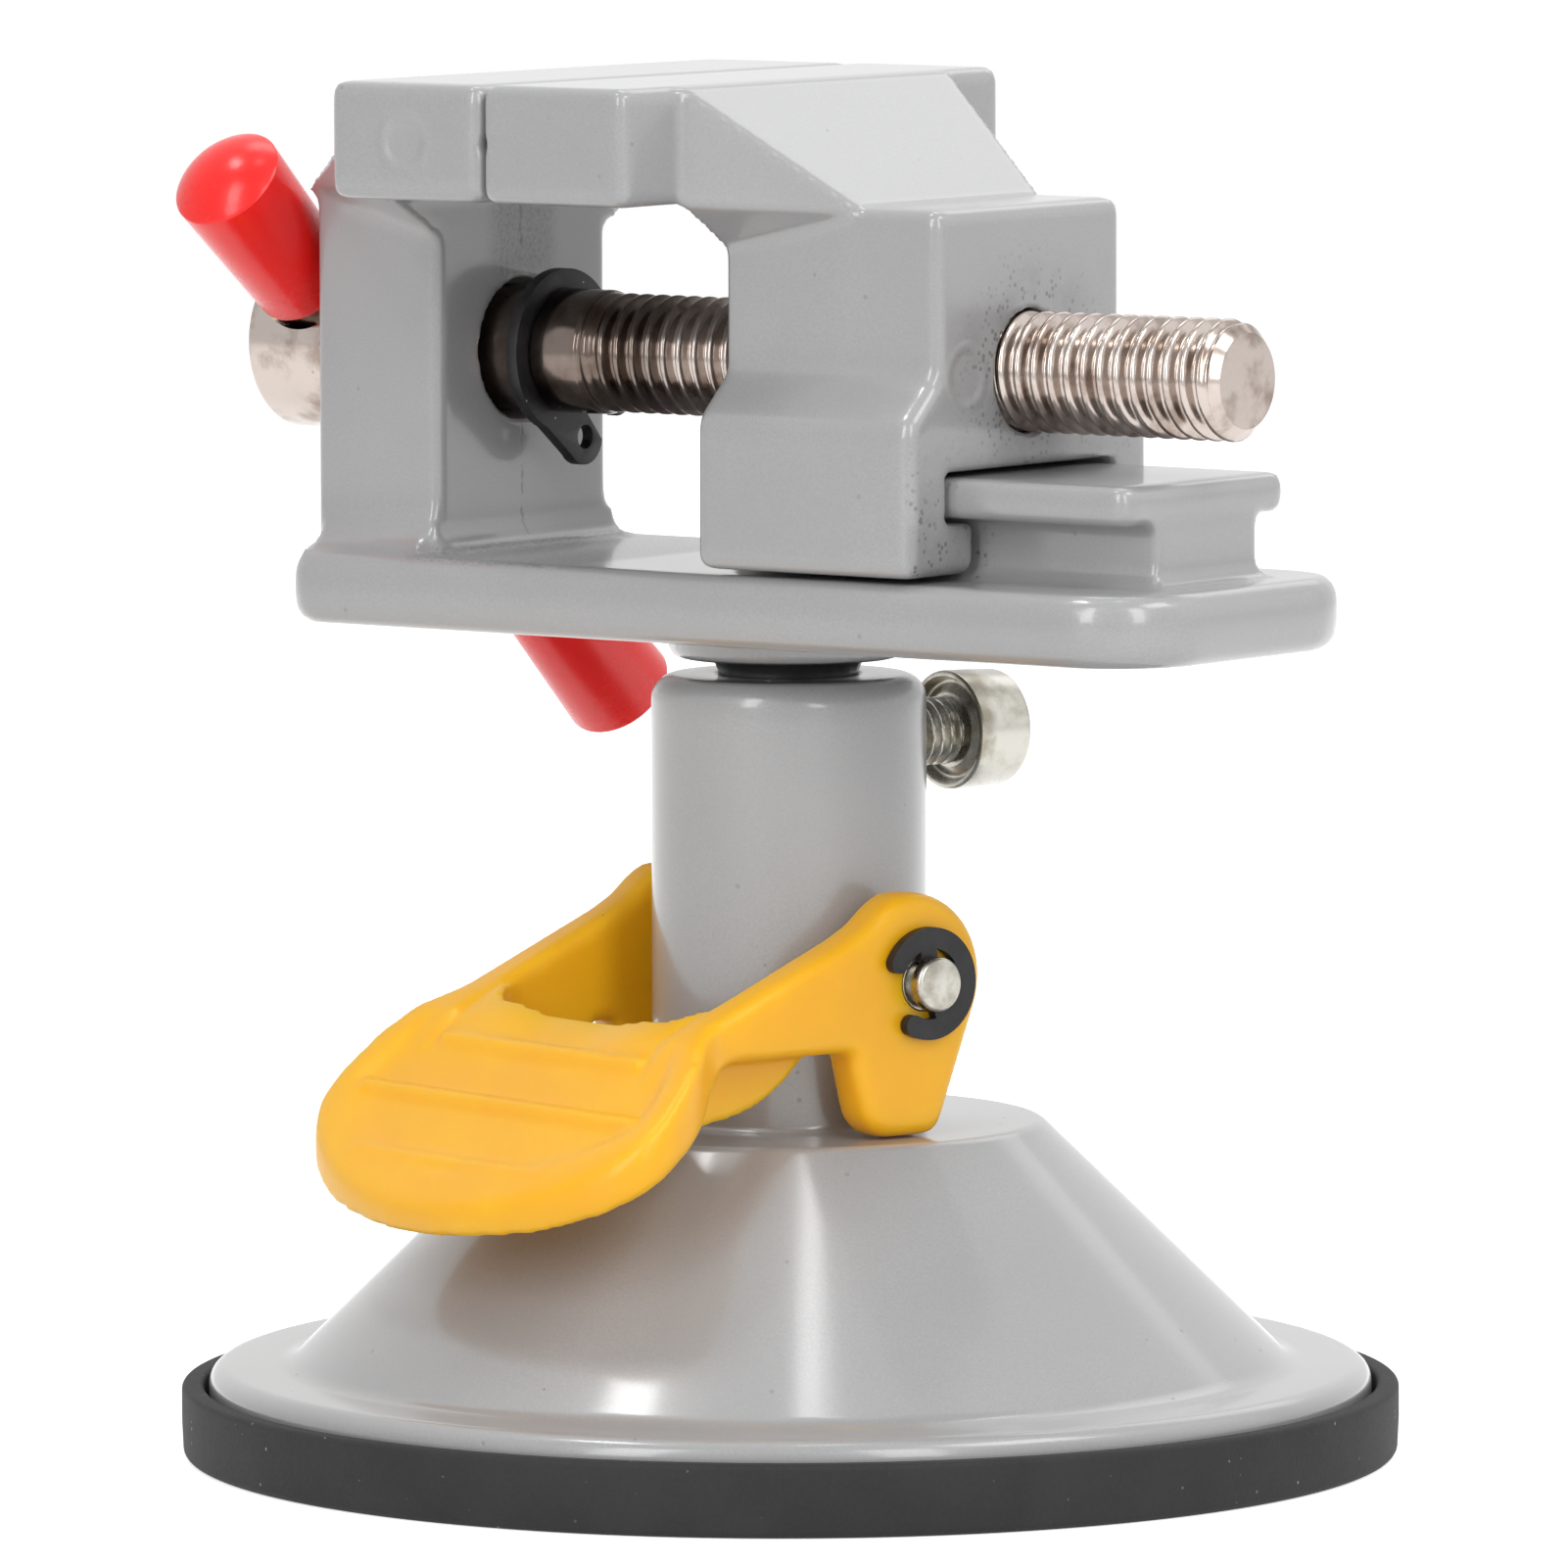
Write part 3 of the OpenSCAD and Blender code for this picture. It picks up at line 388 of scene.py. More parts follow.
def finish_of(key):
    """The finish with this slot name, made once."""
    if key not in FINISHES:
        make, colour_name, *settings = {
            "grey_paint": (paint_finish, "paint"),
            "black_rubber": (rubber_finish, "rubber"),
            "orange_plastic": (plastic_finish, "lever", 0.33, 0.12),
            "red_plastic": (plastic_finish, "caps", 0.2, 0.04),
            # The last True paints shade and a dark reflection onto the lead screw inside the throat
            "nickel_steel": (plating_finish, "nickel", linear((118, 98, 86)), 0.1, (3.0, 0.6, 0.6), True),
            "zinc_steel": (plating_finish, "zinc", linear((124, 116, 100)), 0.2, (1.0, 1.0, 1.0)),
            "black_steel": (oxide_finish, "oxide"),
        }[key]
        base = tuple(getattr(bpy.context.scene.vise_colours, colour_name))
        FINISHES[key] = make(key.capitalize(), base, *settings)
    return FINISHES[key]


# Modelling, in millimetres

def deselect():
    """Leaves edit mode and selects nothing."""
    if bpy.context.mode != "OBJECT":
        bpy.ops.object.mode_set(mode="OBJECT")
    bpy.ops.object.select_all(action="DESELECT")


def choose(obj):
    """Selects one object alone."""
    deselect()
    obj.select_set(True)
    bpy.context.view_layer.objects.active = obj


def edit(obj):
    """Opens one object in edit mode with all of it selected."""
    choose(obj)
    bpy.ops.object.mode_set(mode="EDIT")
    bpy.ops.mesh.select_all(action="SELECT")


def settle(obj):
    """Puts an object's place into its mesh and leaves it at the origin."""
    choose(obj)
    bpy.ops.object.transform_apply(location=True, rotation=True, scale=True)


def outline_ring(points, fill):
    """A circle primitive whose corners are moved onto an outline of (x, y, z) points."""
    deselect()
    bpy.ops.mesh.primitive_circle_add(vertices=len(points), radius=1, fill_type=fill)
    obj = bpy.context.object
    for corner, point in zip(obj.data.vertices, points):
        corner.co = point
    return obj


def turned(profile, steps=160):
    """Spins a closed profile of (radius, height) points round Z."""
    obj = outline_ring([(r, 0, z) for r, z in profile], "NOTHING")
    edit(obj)
    on_axis = [abs(r) < TINY for r, z in profile]
    mesh = bmesh.from_edit_mesh(obj.data)
    mesh.verts.ensure_lookup_table()
    for edge in mesh.edges:
        edge.select_set(all(on_axis[v.index] for v in edge.verts))
    bmesh.update_edit_mesh(obj.data)
    bpy.ops.mesh.delete(type="EDGE_FACE")
    bpy.ops.mesh.select_all(action="SELECT")
    bpy.ops.mesh.spin(steps=steps, angle=2 * math.pi, center=(0, 0, 0), axis=(0, 0, 1), use_auto_merge=True)
    return clean(obj)


def clean(obj):
    """Merges doubles and turns the faces outwards."""
    edit(obj)
    bpy.ops.mesh.remove_doubles(threshold=MERGE)
    bpy.ops.mesh.normals_make_consistent(inside=False)
    deselect()
    return obj


def spot(a, b, third, along):
    """A place from its coordinate along an axis and the two others."""
    place = [a, b]
    place.insert("XYZ".index(along), third)
    return place


def slab(outline, low, high, along="Z"):
    """Extrudes an outline of two coordinates from low to high along the third axis."""
    obj = outline_ring([spot(a, b, low, along) for a, b in outline], "NGON")
    edit(obj)
    bpy.ops.mesh.extrude_region_move(TRANSFORM_OT_translate={"value": spot(0, 0, high - low, along)})
    return clean(obj)


def block(low, high, radius=0.0):
    """A cube primitive between two corners, with rounded edges where a radius is given."""
    deselect()
    middle = [(a + b) / 2 for a, b in zip(low, high)]
    size = [b - a for a, b in zip(low, high)]
    bpy.ops.mesh.primitive_cube_add(size=1, location=middle, scale=size)
    obj = bpy.context.object
    settle(obj)
    if radius:
        edit(obj)
        bpy.ops.mesh.bevel(offset=radius, segments=4, profile=0.5)
        deselect()
    return obj


def rod(centre, radius, low, high, along="Z", sides=64):
    """A cylinder primitive along an axis; centre gives the two other coordinates."""
    deselect()
    turn = {"X": (0, math.pi / 2, 0), "Y": (math.pi / 2, 0, 0), "Z": (0, 0, 0)}[along]
    bpy.ops.mesh.primitive_cylinder_add(vertices=sides, radius=radius, depth=high - low, rotation=turn,
                                        location=spot(*centre, (low + high) / 2, along))
    obj = bpy.context.object
    settle(obj)
    return obj


def apply(obj, kind, **settings):
    """Adds a modifier, sets it and applies it."""
    choose(obj)
    modifier = obj.modifiers.new(kind.title(), kind)
    for key, value in settings.items():
        setattr(modifier, key, value)
    if bpy.ops.object.modifier_apply(modifier=modifier.name) != {"FINISHED"}:
        raise RuntimeError(f"{kind} could not be applied to {obj.name}")
    return obj


def combine(base, others, operation="UNION"):
    """Joins solids to a base, cuts them from it or keeps what they share, and removes them."""
    for other in others:
        apply(base, "BOOLEAN", operation=operation, object=other, solver="EXACT")
        bpy.data.objects.remove(other)
    return base


def soften(obj, grain, rounds):
    """Rebuilds a solid in even faces and relaxes them, which rounds edges and hollow corners as a mould does."""
    apply(obj, "REMESH", mode="VOXEL", voxel_size=grain, use_smooth_shade=True)
    apply(obj, "SMOOTH", factor=0.5, iterations=rounds)
    return obj


def edges_rounded(obj, width, angle, segments=4):
    """Rounds the edges that are sharper than an angle in degrees."""
    return apply(obj, "BEVEL", width=width, segments=segments, limit_method="ANGLE",
                 angle_limit=math.radians(angle))


def moved(obj, matrix):
    """Turns or moves a mesh in place."""
    obj.data.transform(matrix)
    return obj


def arc(centre, radius, start, end, steps):
    """Points on an arc, with angles in degrees."""
    a, b = centre
    turns = [math.radians(start + (end - start) * i / steps) for i in range(steps + 1)]
    return [(a + radius * math.cos(t), b + radius * math.sin(t)) for t in turns]


def rounded(corners, steps=6):
    """An open path through (a, b, radius) corners, with an arc at each corner that has a radius."""
    points = []
    for i, (a, b, *rest) in enumerate(corners):
        radius = rest[0] if rest else 0
        here = Vector((a, b))
        if not radius or i in (0, len(corners) - 1):
            points.append((a, b))
            continue
        back = (Vector(corners[i - 1][:2]) - here).normalized()
        on = (Vector(corners[i + 1][:2]) - here).normalized()
        half = back.angle(on) / 2
        reach = radius / math.tan(half)
        centre = here + (back + on).normalized() * (radius / math.sin(half))
        first, last = here + back * reach - centre, here + on * reach - centre
        sweep = first.angle_signed(last)
        for k in range(steps + 1):
            turn = Matrix.Rotation(-sweep * k / steps, 2)
            points.append(tuple(centre + turn @ first))
    return points


def smooth_step(value, low, high):
    """Runs smoothly from 0 at low to 1 at high."""
    share = min(1.0, max(0.0, (value - low) / (high - low)))
    return share * share * (3 - 2 * share)


def finished(obj, name, body, slot, replaces=(), smooth=35):
    """Scales a piece to metres, shades it, gives it its finish and ties it to its body."""
    obj.name = name
    obj.data.name = name
    obj.data.transform(Matrix.Scale(MM, 4))
    choose(obj)
    bpy.ops.object.shade_smooth_by_angle(angle=math.radians(smooth))
    obj.data.materials.clear()
    obj.data.materials.append(finish_of(slot))
    if body:
        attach(obj, body)
    if replaces:
        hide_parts(*replaces)
    return obj


def sizes(group):
    """A property group's lengths, in millimetres."""
    return lambda name: getattr(group, name) / MM


def lever_matrix(s):
    """From the lever's own frame, X outwards, Y along the pin, Z up, to the part's."""
    return Matrix.Translation((0, 0, s.pin_height / MM)) @ Matrix.Rotation(s.azimuth, 4, "Z")


def bar_matrix(s):
    """From the bar's own frame, Z along it towards its upper cap, to the part's."""
    tilt = Matrix.Rotation(s.bar_tilt - math.pi / 2, 4, "X")
    return Matrix.Translation((-32.35, 0, s.screw_height / MM)) @ tilt


# Pieces

class Builder(bpy.types.Operator):
    """What every operator here does: builds its pieces and says that it finished."""

    def execute(self, context):
        self.build(context.scene)
        return {"FINISHED"}


class CupOperator(Builder):
    """Suction cup: its rim and sole on the base, and its middle, which is tied to no body"""

    bl_idname = "vise.add_cup"
    bl_label = "Suction cup"

    def build(self, scene):
        g = sizes(scene.vise_base)
        r, h, wall = g("cup_radius"), g("rim_height"), g("rim_wall")
        inner = r - wall
        split, floor = 29.0, 2.5
        profile = rounded([
            (split, 0), (r - 0.1, 0, 0.5), (r, 2.2), (r, h, 0.35), (inner, h, 0.3), (inner, floor, 0.15),
            (split, floor), (split, 0)], 5)[:-1]
        finished(turned(profile, 256), "cup_rim", "base", "black_rubber", ["suction_cup"])
        contact, plate = 24.1, 11.05
        lip = plate + 1.4
        profile = rounded([
            (0, 2.2), (plate, 2.2, 2), (contact, 0, 2), (split, 0), (split, floor), (contact, floor, 3),
            (lip, 4.7, 0.6), (lip, 5.95, 0.3), (plate, 5.95, 0.2), (plate, 4.7), (0, 4.7)], 5)
        middle = turned(profile)
        finished(middle, "cup_middle", None, "black_rubber")
        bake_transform(middle)
        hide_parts("suction_cup")


class BaseOperator(Builder):
    """Base casting: flange, bell, ledge and column, with the pin's slots and the lock screw's hole"""

    bl_idname = "vise.add_base"
    bl_label = "Base casting"

    def build(self, scene):
        g = sizes(scene.vise_base)
        low, ledge_r, ledge_z = 2.55, g("ledge_radius"), g("ledge_height")
        col_r, top = g("column_radius"), g("column_top")
        flange_r = g("flange_radius")
        outer = [
            (flange_r, low), (flange_r, 5.35, 1.15), (29.25, 5.35, 2.2), (ledge_r, ledge_z, 1.1),
            (col_r, ledge_z, 0.45), (col_r, 23), (col_r, 26), (col_r, 29), (col_r, 32), (col_r, 35), (col_r, 38),
            (col_r, 40), (col_r, 43), (col_r, top, 1.4), (4.15, top, 0.3), (4.15, 36.4), (4.45, 36.3), (4.45, 17.0),
            (4.45, 16.7), (11.75, 16.7, 1.0), (26.1, 3.2, 0.5), (26.1, low), (flange_r, low)]
        shell = turned(rounded(outer, 7)[:-1], 224)
        lever = scene.vise_lever
        slot_r = lever.pin_radius / MM + 0.3
        slot = slab(arc((0, 0), slot_r, 0, 180, 16) + arc((0, -1), slot_r, 180, 360, 16), -16, 16, "Y")
        moved(slot, lever_matrix(lever))
        hole = rod((0, LOCK_HEIGHT), 2.05, 0, 16, "X", 48)
        moved(hole, Matrix.Rotation(lever.azimuth + math.pi, 4, "Z"))
        combine(shell, [slot, hole], "DIFFERENCE")
        finished(shell, "base_shell", "base", "grey_paint", ["base_casting"], 32)


class LeverOperator(Builder):
    """Clamp lever: two ears with cam feet, arms and a ridged pad, moulded as one"""

    bl_idname = "vise.add_lever"
    bl_label = "Clamp lever"

    def build(self, scene):
        s = scene.vise_lever
        ear_in, ear_out = s.ear_gap / 2 / MM, s.ear_span / 2 / MM
        side = (arc((0.6, 0.2), 5.0, 76, 200, 24)
                + rounded([(-4.1, -1.5), (-1.2, -8.85, 1.3), (3.9, -8.85, 2.2), (4.95, -4.6), (5.0, -3.75, 0.7),
                           (14.8, -3.75), (16.2, -5.6), (19.0, -8.0)], 6)[1:]
                + [(19.5, -5.2), (18.0, -3.3), (17.0, -2.2), (14.0, -0.9), (5.3, 2.75), (3.9, 3.5), (2.7, 4.5)])
        ears = [slab(side, *span, "Y") for span in ((ear_in, ear_out), (-ear_out, -ear_in))]
        for ear in ears:
            edges_rounded(ear, 1.0, 60)
        web = [(6.6, -3.0), (7.0, -4.1), (8.1, -5.15), (8.8, -5.66), (9.9, -6.4), (11.2, -6.9), (12.4, -7.2),
               (14.2, -7.5), (17.0, -8.0), (17.0, -4.0)]
        webs = [slab(web, *span, "Y") for span in ((ear_in, 10.3), (-10.3, -ear_in))]
        floor = [(11.5, -0.8), (14.2, -1.65), (15.1, -2.15), (16.5, -2.85), (18.0, -3.8), (21.2, -6.6),
                 (24.75, -9.7), (29.2, -13.6)]
        rim = [(11.5, -0.1), (14.2, -1.0), (15.2, -1.3), (17.0, -2.1), (18.0, -3.0), (19.5, -4.4),
               (21.2, -5.95), (24.75, -9.2), (29.2, -13.2)]
        under = [(29.2, -14.5), (26.4, -13.1), (24.7, -12.0), (22.7, -10.6), (20.5, -9.1), (18.7, -8.0),
                 (17.0, -6.9), (15.9, -5.6), (14.9, -4.5), (14.2, -3.8), (11.5, -3.6)]
        pad = combine(slab(self.plan(0), -30, 30), [slab(floor + under, -20, 20, "Y")], "INTERSECT")
        lip = combine(slab(self.plan(0), -30, 30), [slab(self.plan(2.2), -31, 31)], "DIFFERENCE")
        combine(lip, [slab(rim + under, -20, 20, "Y")], "INTERSECT")
        combine(pad, [lip])
        soften(pad, 0.3, 14)
        self.dish(pad, 0.65)
        ridges = [rod((x, z), 0.55, -size, size, "Y", 24)
                  for x, z, size in ((18.0, -3.85, 9.4), (21.2, -6.7, 13.0), (24.75, -9.8, 9.0))]
        body = combine(pad, ears + webs + ridges)
        gap = rounded([(-15.1, -ear_in), (15.1, -ear_in, 3), (15.1, ear_in, 3), (-15.1, ear_in)], 8)
        combine(body, [slab(gap, -30, 30)], "DIFFERENCE")
        soften(body, 0.24, 13)
        combine(body, [rod((0, 0), 1.66, -20, 20, "Y")], "DIFFERENCE")
        moved(body, lever_matrix(s))
        finished(body, "lever_body", "clamp_lever", "orange_plastic", ["lever"], 50)

    @staticmethod
    def dish(pad, rise):
        """Lifts the pad's floor towards both arms, where it meets the opening."""
        for vertex in pad.data.vertices:
            x, y = vertex.co[:2]
            if vertex.normal.z > 0.2:
                side = smooth_step(abs(y), 1.5, 7.5) * (1 - smooth_step(abs(y), 9.0, 10.4))
                vertex.co.z += rise * side * (1 - smooth_step(x, 16.0, 19.5))

    @staticmethod
    def plan(inset):
        """The pad's outline seen from above, drawn inside its edge by the inset."""
        edge = [(9.6, 12.5), (15.0, 12.5), (15.8, 12.9), (16.6, 13.5), (17.6, 14.3), (18.6, 14.9), (19.6, 15.3),
                (20.7, 15.6), (21.8, 15.6), (22.8, 15.3), (23.9, 14.2), (24.8, 12.8), (25.6, 11.1), (26.35, 9.0),
                (26.9, 7.0), (27.3, 5.0), (27.6, 2.8), (27.7, 1.0)]
        points = []
        for i, (x, y) in enumerate(edge):
            before, after = edge[max(i - 1, 0)], edge[min(i + 1, len(edge) - 1)]
            along = Vector((after[0] - before[0], after[1] - before[1])).normalized()
            points.append((x + along.y * inset, y - along.x * inset))
        return points + [(x, -y) for x, y in reversed(points)]


class PinOperator(Builder):
    """Lever pin and its two retaining clips"""

    bl_idname = "vise.add_pin"
    bl_label = "Lever pin and clips"

    def build(self, scene):
        s = scene.vise_lever
        r = s.pin_radius / MM
        end, low, high = 14.05, 12.55, 13.25
        profile = rounded([
            (0, -end), (r, -end, 0.3), (r, -high, 0.05), (r - 0.35, -high), (r - 0.35, -low), (r, -low, 0.05),
            (r, low, 0.05), (r - 0.35, low), (r - 0.35, high), (r, high, 0.05), (r, end, 0.3), (0, end)], 4)
        pin = moved(turned(profile, 64), Matrix.Rotation(-math.pi / 2, 4, "X"))
        finished(moved(pin, lever_matrix(s)), "lever_pin_steel", "plunger_set", "zinc_steel", ["lever_pin"])
        for name, y, node in (("clip_near", 12.6, "pin_clip_near"), ("clip_far", -13.2, "pin_clip_far")):
            clip = self.clip(r - 0.3)
            moved(clip, Matrix.Translation((0, y, 0)) @ Matrix.Rotation(math.radians(16), 4, "Y"))
            finished(moved(clip, lever_matrix(s)), name, "plunger_set", "black_steel", [node])

    @staticmethod
    def clip(grip):
        """One E-shaped clip, open towards +X, with round ends and three fingers in the pin's groove."""
        outer, relief, thick, opening = 3.25, 2.05, 0.6, 46
        ring = rod((0, 0), outer, 0, thick, "Y", 96)
        mouth = slab([(0, 0), (6, -6.2), (6, 6.2)], -1, 2, "Y")
        combine(ring, [rod((0, 0), relief, -1, 2, "Y"), mouth], "DIFFERENCE")
        middle = (outer + relief) / 2
        fingers = [rod((middle * math.cos(t), middle * math.sin(t)), (outer - relief) / 2, 0, thick, "Y", 32)
                   for t in (math.radians(opening), math.radians(-opening))]
        for turn in (100, 180, 260):
            finger = slab([(grip, -0.5), (2.7, -0.7), (2.7, 0.7), (grip, 0.5)], 0, thick, "Y")
            fingers.append(moved(finger, Matrix.Rotation(math.radians(-turn), 4, "Y")))
        combine(ring, fingers)
        edges_rounded(ring, 0.1, 40, 2)
        return ring


class LockOperator(Builder):
    """Lock screw: a socket head screw with its thread"""

    bl_idname = "vise.add_lock_screw"
    bl_label = "Lock screw"

    def build(self, scene):
        azimuth = scene.vise_lever.azimuth + math.pi
        screw = threaded(2.0, 3.45, 12.3, 0.7, 0.42, 0.3, 0.25, 56)
        head = turned(rounded([
            (0, 11.75), (2.2, 11.9, 0.1), (2.9, 12.35, 0.2), (3.15, 11.7, 0.15), (3.5, 11.7, 0.15), (3.48, 13.0),
            (3.38, 15.6, 0.4), (1.9, 15.6, 0.15), (1.75, 15.45), (0, 15.45)], 4), 96)
        combine(head, [rod((0, 0), 1.72, 13.4, 17, "Z", 6)], "DIFFERENCE")
        combine(screw, [head])
        moved(screw, Matrix.Rotation(math.pi / 2, 4, "Y"))
        moved(screw, Matrix.Translation((0, 0, LOCK_HEIGHT)) @ Matrix.Rotation(azimuth, 4, "Z"))
        finished(screw, "lock_screw_steel", "lock", "zinc_steel", ["lock_screw"])


def threaded(radius, start, end, pitch, depth, lead_in, lead_out, sides, chamfer=0.0, rows=12):
    """A rod along Z whose surface is drawn into a screw thread that fades in at both ends."""
    count = int((end - start) / pitch * rows)
    places = [start + (end - start) * i / count for i in range(count + 1)]
    wall = [(min(radius, radius - chamfer + end - z) if chamfer else radius, z) for z in places]
    body = turned([(0, start)] + wall + [(0, end)], sides)
    for vertex in body.data.vertices:
        x, y, z = vertex.co
        r = math.hypot(x, y)
        if r < TINY:
            continue
        phase = (z / pitch - math.atan2(y, x) / (2 * math.pi)) % 1.0
        tooth = abs(phase - 0.5) * 2
        fall = min(1.0, max(0.0, (tooth - 0.1) / 0.8))
        fade = max(0.0, min(1.0, (z - start) / (lead_in * pitch), (end - z) / (lead_out * pitch)))
        drop = depth * fade * (0.35 * fall + 0.65 * (1 - math.cos(math.pi * fall)) / 2)
        want = min(r, radius - drop)
        vertex.co = (x * want / r, y * want / r, z)
    return body


class HeadOperator(Builder):
    """Head casting: stem, base plate, tower, fixed jaw and T-rail"""

    bl_idname = "vise.add_head"
    bl_label = "Head casting"

    def build(self, scene):
        g = sizes(scene.vise_head)
        top, low_jaw = g("jaw_top"), g("jaw_top") - g("jaw_height")
        half, deck = g("plate_width") / 2, g("plate_top")
        back, front, face = -28.6, -19.35, -8.4
        wide = g("jaw_width") / 2
        plan = (arc((27.4, half - 6), 6, 90, 0, 12) + arc((27.4, 6 - half), 6, 0, -90, 12)
                + arc((back + 2.5, 2.5 - half), 2.5, -90, -180, 6) + arc((back + 2.5, half - 2.5), 2.5, 180, 90, 6))
        plate = slab(plan, deck - 4.2, deck)
        edges_rounded(plate, 1.0, 50, 5)
        stem = turned(rounded([
            (0, 36.6), (4.1, 36.6, 0.6), (4.1, 39.2), (3.3, 39.2), (3.3, 43.8), (4.1, 43.8), (4.1, 46.45),
            (7.0, 46.45, 0.8), (7.0, 50), (0, 50)], 4), 96)
        tower = block((back, -8.2, deck - 2), (front, 8.2, low_jaw + 0.4), 0.7)
        jaw = block((front - 0.05, -wide, low_jaw), (face, wide, top), 0.7)
        gusset = wedge(front, back - 0.3, 13.1, 8.2, top, low_jaw, 2.6)
        foot = self.apron(deck, front)
        flare = self.flare(deck, back, front)
        rail = self.rail(deck)
        body = combine(plate, [stem, tower, jaw, gusset, foot, flare, rail])
        z = scene.vise_screws.screw_height / MM
        bore = rod((0, z), 3.72, -40, -10, "X", 96)
        counter = rod((0, z), 4.1, front - 1.2, -10, "X", 96)
        groove = slab([(face - 0.45, 76.7), (face + 1, 75.25), (face + 1, 78.15)], -wide - 1, wide + 1, "Y")
        mark = rod(((front + face) / 2, 76.7), 1.6, -wide - 1, -wide + 0.12, "Y", 48)
        combine(body, [bore, counter, groove, mark], "DIFFERENCE")
        soften(body, g("grain"), 5)
        self.draft(body, deck - 2.1, 2.1, 0.25)
        finished(body, "head_body", "head", "grey_paint", ["head_casting"], 60)

    @staticmethod
    def draft(body, middle, half, depth):
        """Draws the plate's sides in towards its top and bottom, as the mould's draft does."""
        for vertex in body.data.vertices:
            share = (vertex.co.z - middle) / half
            if abs(share) < 1:
                flat = Vector((vertex.normal.x, vertex.normal.y, 0))
                vertex.co -= flat * depth * share * share

    @staticmethod
    def apron(deck, front):
        """The hollow curve between the tower's front face and the plate."""
        side = arc((front + 1.8, deck + 1.8), 1.8, 180, 270, 8)
        outline = [(front - 2, deck + 1.8)] + side + [(front + 1.8, deck - 1), (front - 2, deck - 1)]
        return slab(outline, -8.6, 8.6, "Y")

    @staticmethod
    def rail(deck):
        """The T-rail: a web with rounded ends and a hollow foot, under a top plate."""
        end, web, wide, under, top = 29.7, 4.95, 8.0, 55.7, 58.0
        foot = arc((web + 1.2, deck + 1.2), 1.2, 180, 270, 6)
        neck = arc((web + 0.5, under - 0.5), 0.5, 90, 180, 4)
        half = neck + foot + [(web + 1.2, deck - 1)]
        rail = slab(half + [(-y, z) for y, z in reversed(half)], 0, end, "X")
        cap = slab(rounded([(0, -wide), (end, -wide, 1.0), (end, wide, 1.0), (0, wide)], 6), under, top)
        edges_rounded(cap, 0.6, 50)
        return combine(rail, [cap])

    @staticmethod
    def flare(deck, back, front):
        """The tower's foot, which widens towards the plate in a hollow curve."""
        side = arc((8.2 + 3, deck + 3), 3, 180, 270, 10)
        outline = side + [(11.2, deck - 1), (-11.2, deck - 1)] + [(-y, z) for y, z in reversed(side)]
        return slab(outline, back + 0.9, front - 0.3, "X")


def wedge(start, end, wide, narrow, top, under, drop):
    """A sloping gusset from a jaw block down to a body, whose underside dies out at its far end."""
    points = [
        (start, -wide, top), (start, wide, top), (start, wide, under), (start, narrow, under - drop),
        (start, -narrow, under - drop), (start, -wide, under),
        (end, -narrow, under), (end, narrow, under), (end, narrow, under - 0.4), (end, -narrow, under - 0.4),
    ]
    mesh = bpy.data.meshes.new("gusset")
    mesh.from_pydata(points, [], [
        (0, 1, 2, 3, 4, 5), (0, 6, 7, 1), (1, 7, 2), (2, 7, 8, 3),
        (0, 5, 6), (5, 4, 9, 6), (3, 8, 9, 4), (6, 9, 8, 7)])
    obj = bpy.data.objects.new("gusset", mesh)
    bpy.context.scene.collection.objects.link(obj)
    return clean(obj)


class JawOperator(Builder):
    """Moving jaw: jaw block, gusset, body and skirt over the rail"""

    bl_idname = "vise.add_jaw"
    bl_label = "Moving jaw"

    def build(self, scene):
        g = sizes(scene.vise_head)
        top, low_jaw = g("jaw_top"), g("jaw_top") - g("jaw_height")
        wide, skirt = g("jaw_width") / 2, g("plate_width") / 2
        face, back, front = -8.3, 2.0, 17.4
        z = scene.vise_screws.screw_height / MM
        jaw = block((face, -wide, low_jaw), (back + 0.05, wide, top), 0.7)
        gusset = wedge(back, 11.5, 13.1, 9.0, top, low_jaw, 2.6)
        section = [(-skirt, 52.4), (skirt, 52.4), (skirt, z - 2.5), (9, z), (9, low_jaw), (-9, low_jaw),
                   (-9, z), (-skirt, z - 2.5)]
        body = slab(section, back, front, "X")
        edges_rounded(body, 0.8, 25)
        combine(body, [jaw, gusset])
        slot = slab([(-5.65, 50), (5.65, 50), (5.65, 55.4), (8.3, 55.4), (8.3, 58.3), (-8.3, 58.3), (-8.3, 55.4),
                     (-5.65, 55.4)], -20, 30, "X")
        bore = rod((0, z), 3.56, -20, 30, "X", 96)
        groove = slab([(face + 0.45, 76.7), (face - 1, 78.15), (face - 1, 75.25)], -wide - 1, wide + 1, "Y")
        mark = rod((-6.3, z), 1.7, front - 0.12, front + 1, "X", 48)
        combine(body, [slot, bore, groove, mark], "DIFFERENCE")
        soften(body, 0.28, 5)
        finished(body, "jaw_body", "jaw", "grey_paint", ["moving_jaw"], 60)


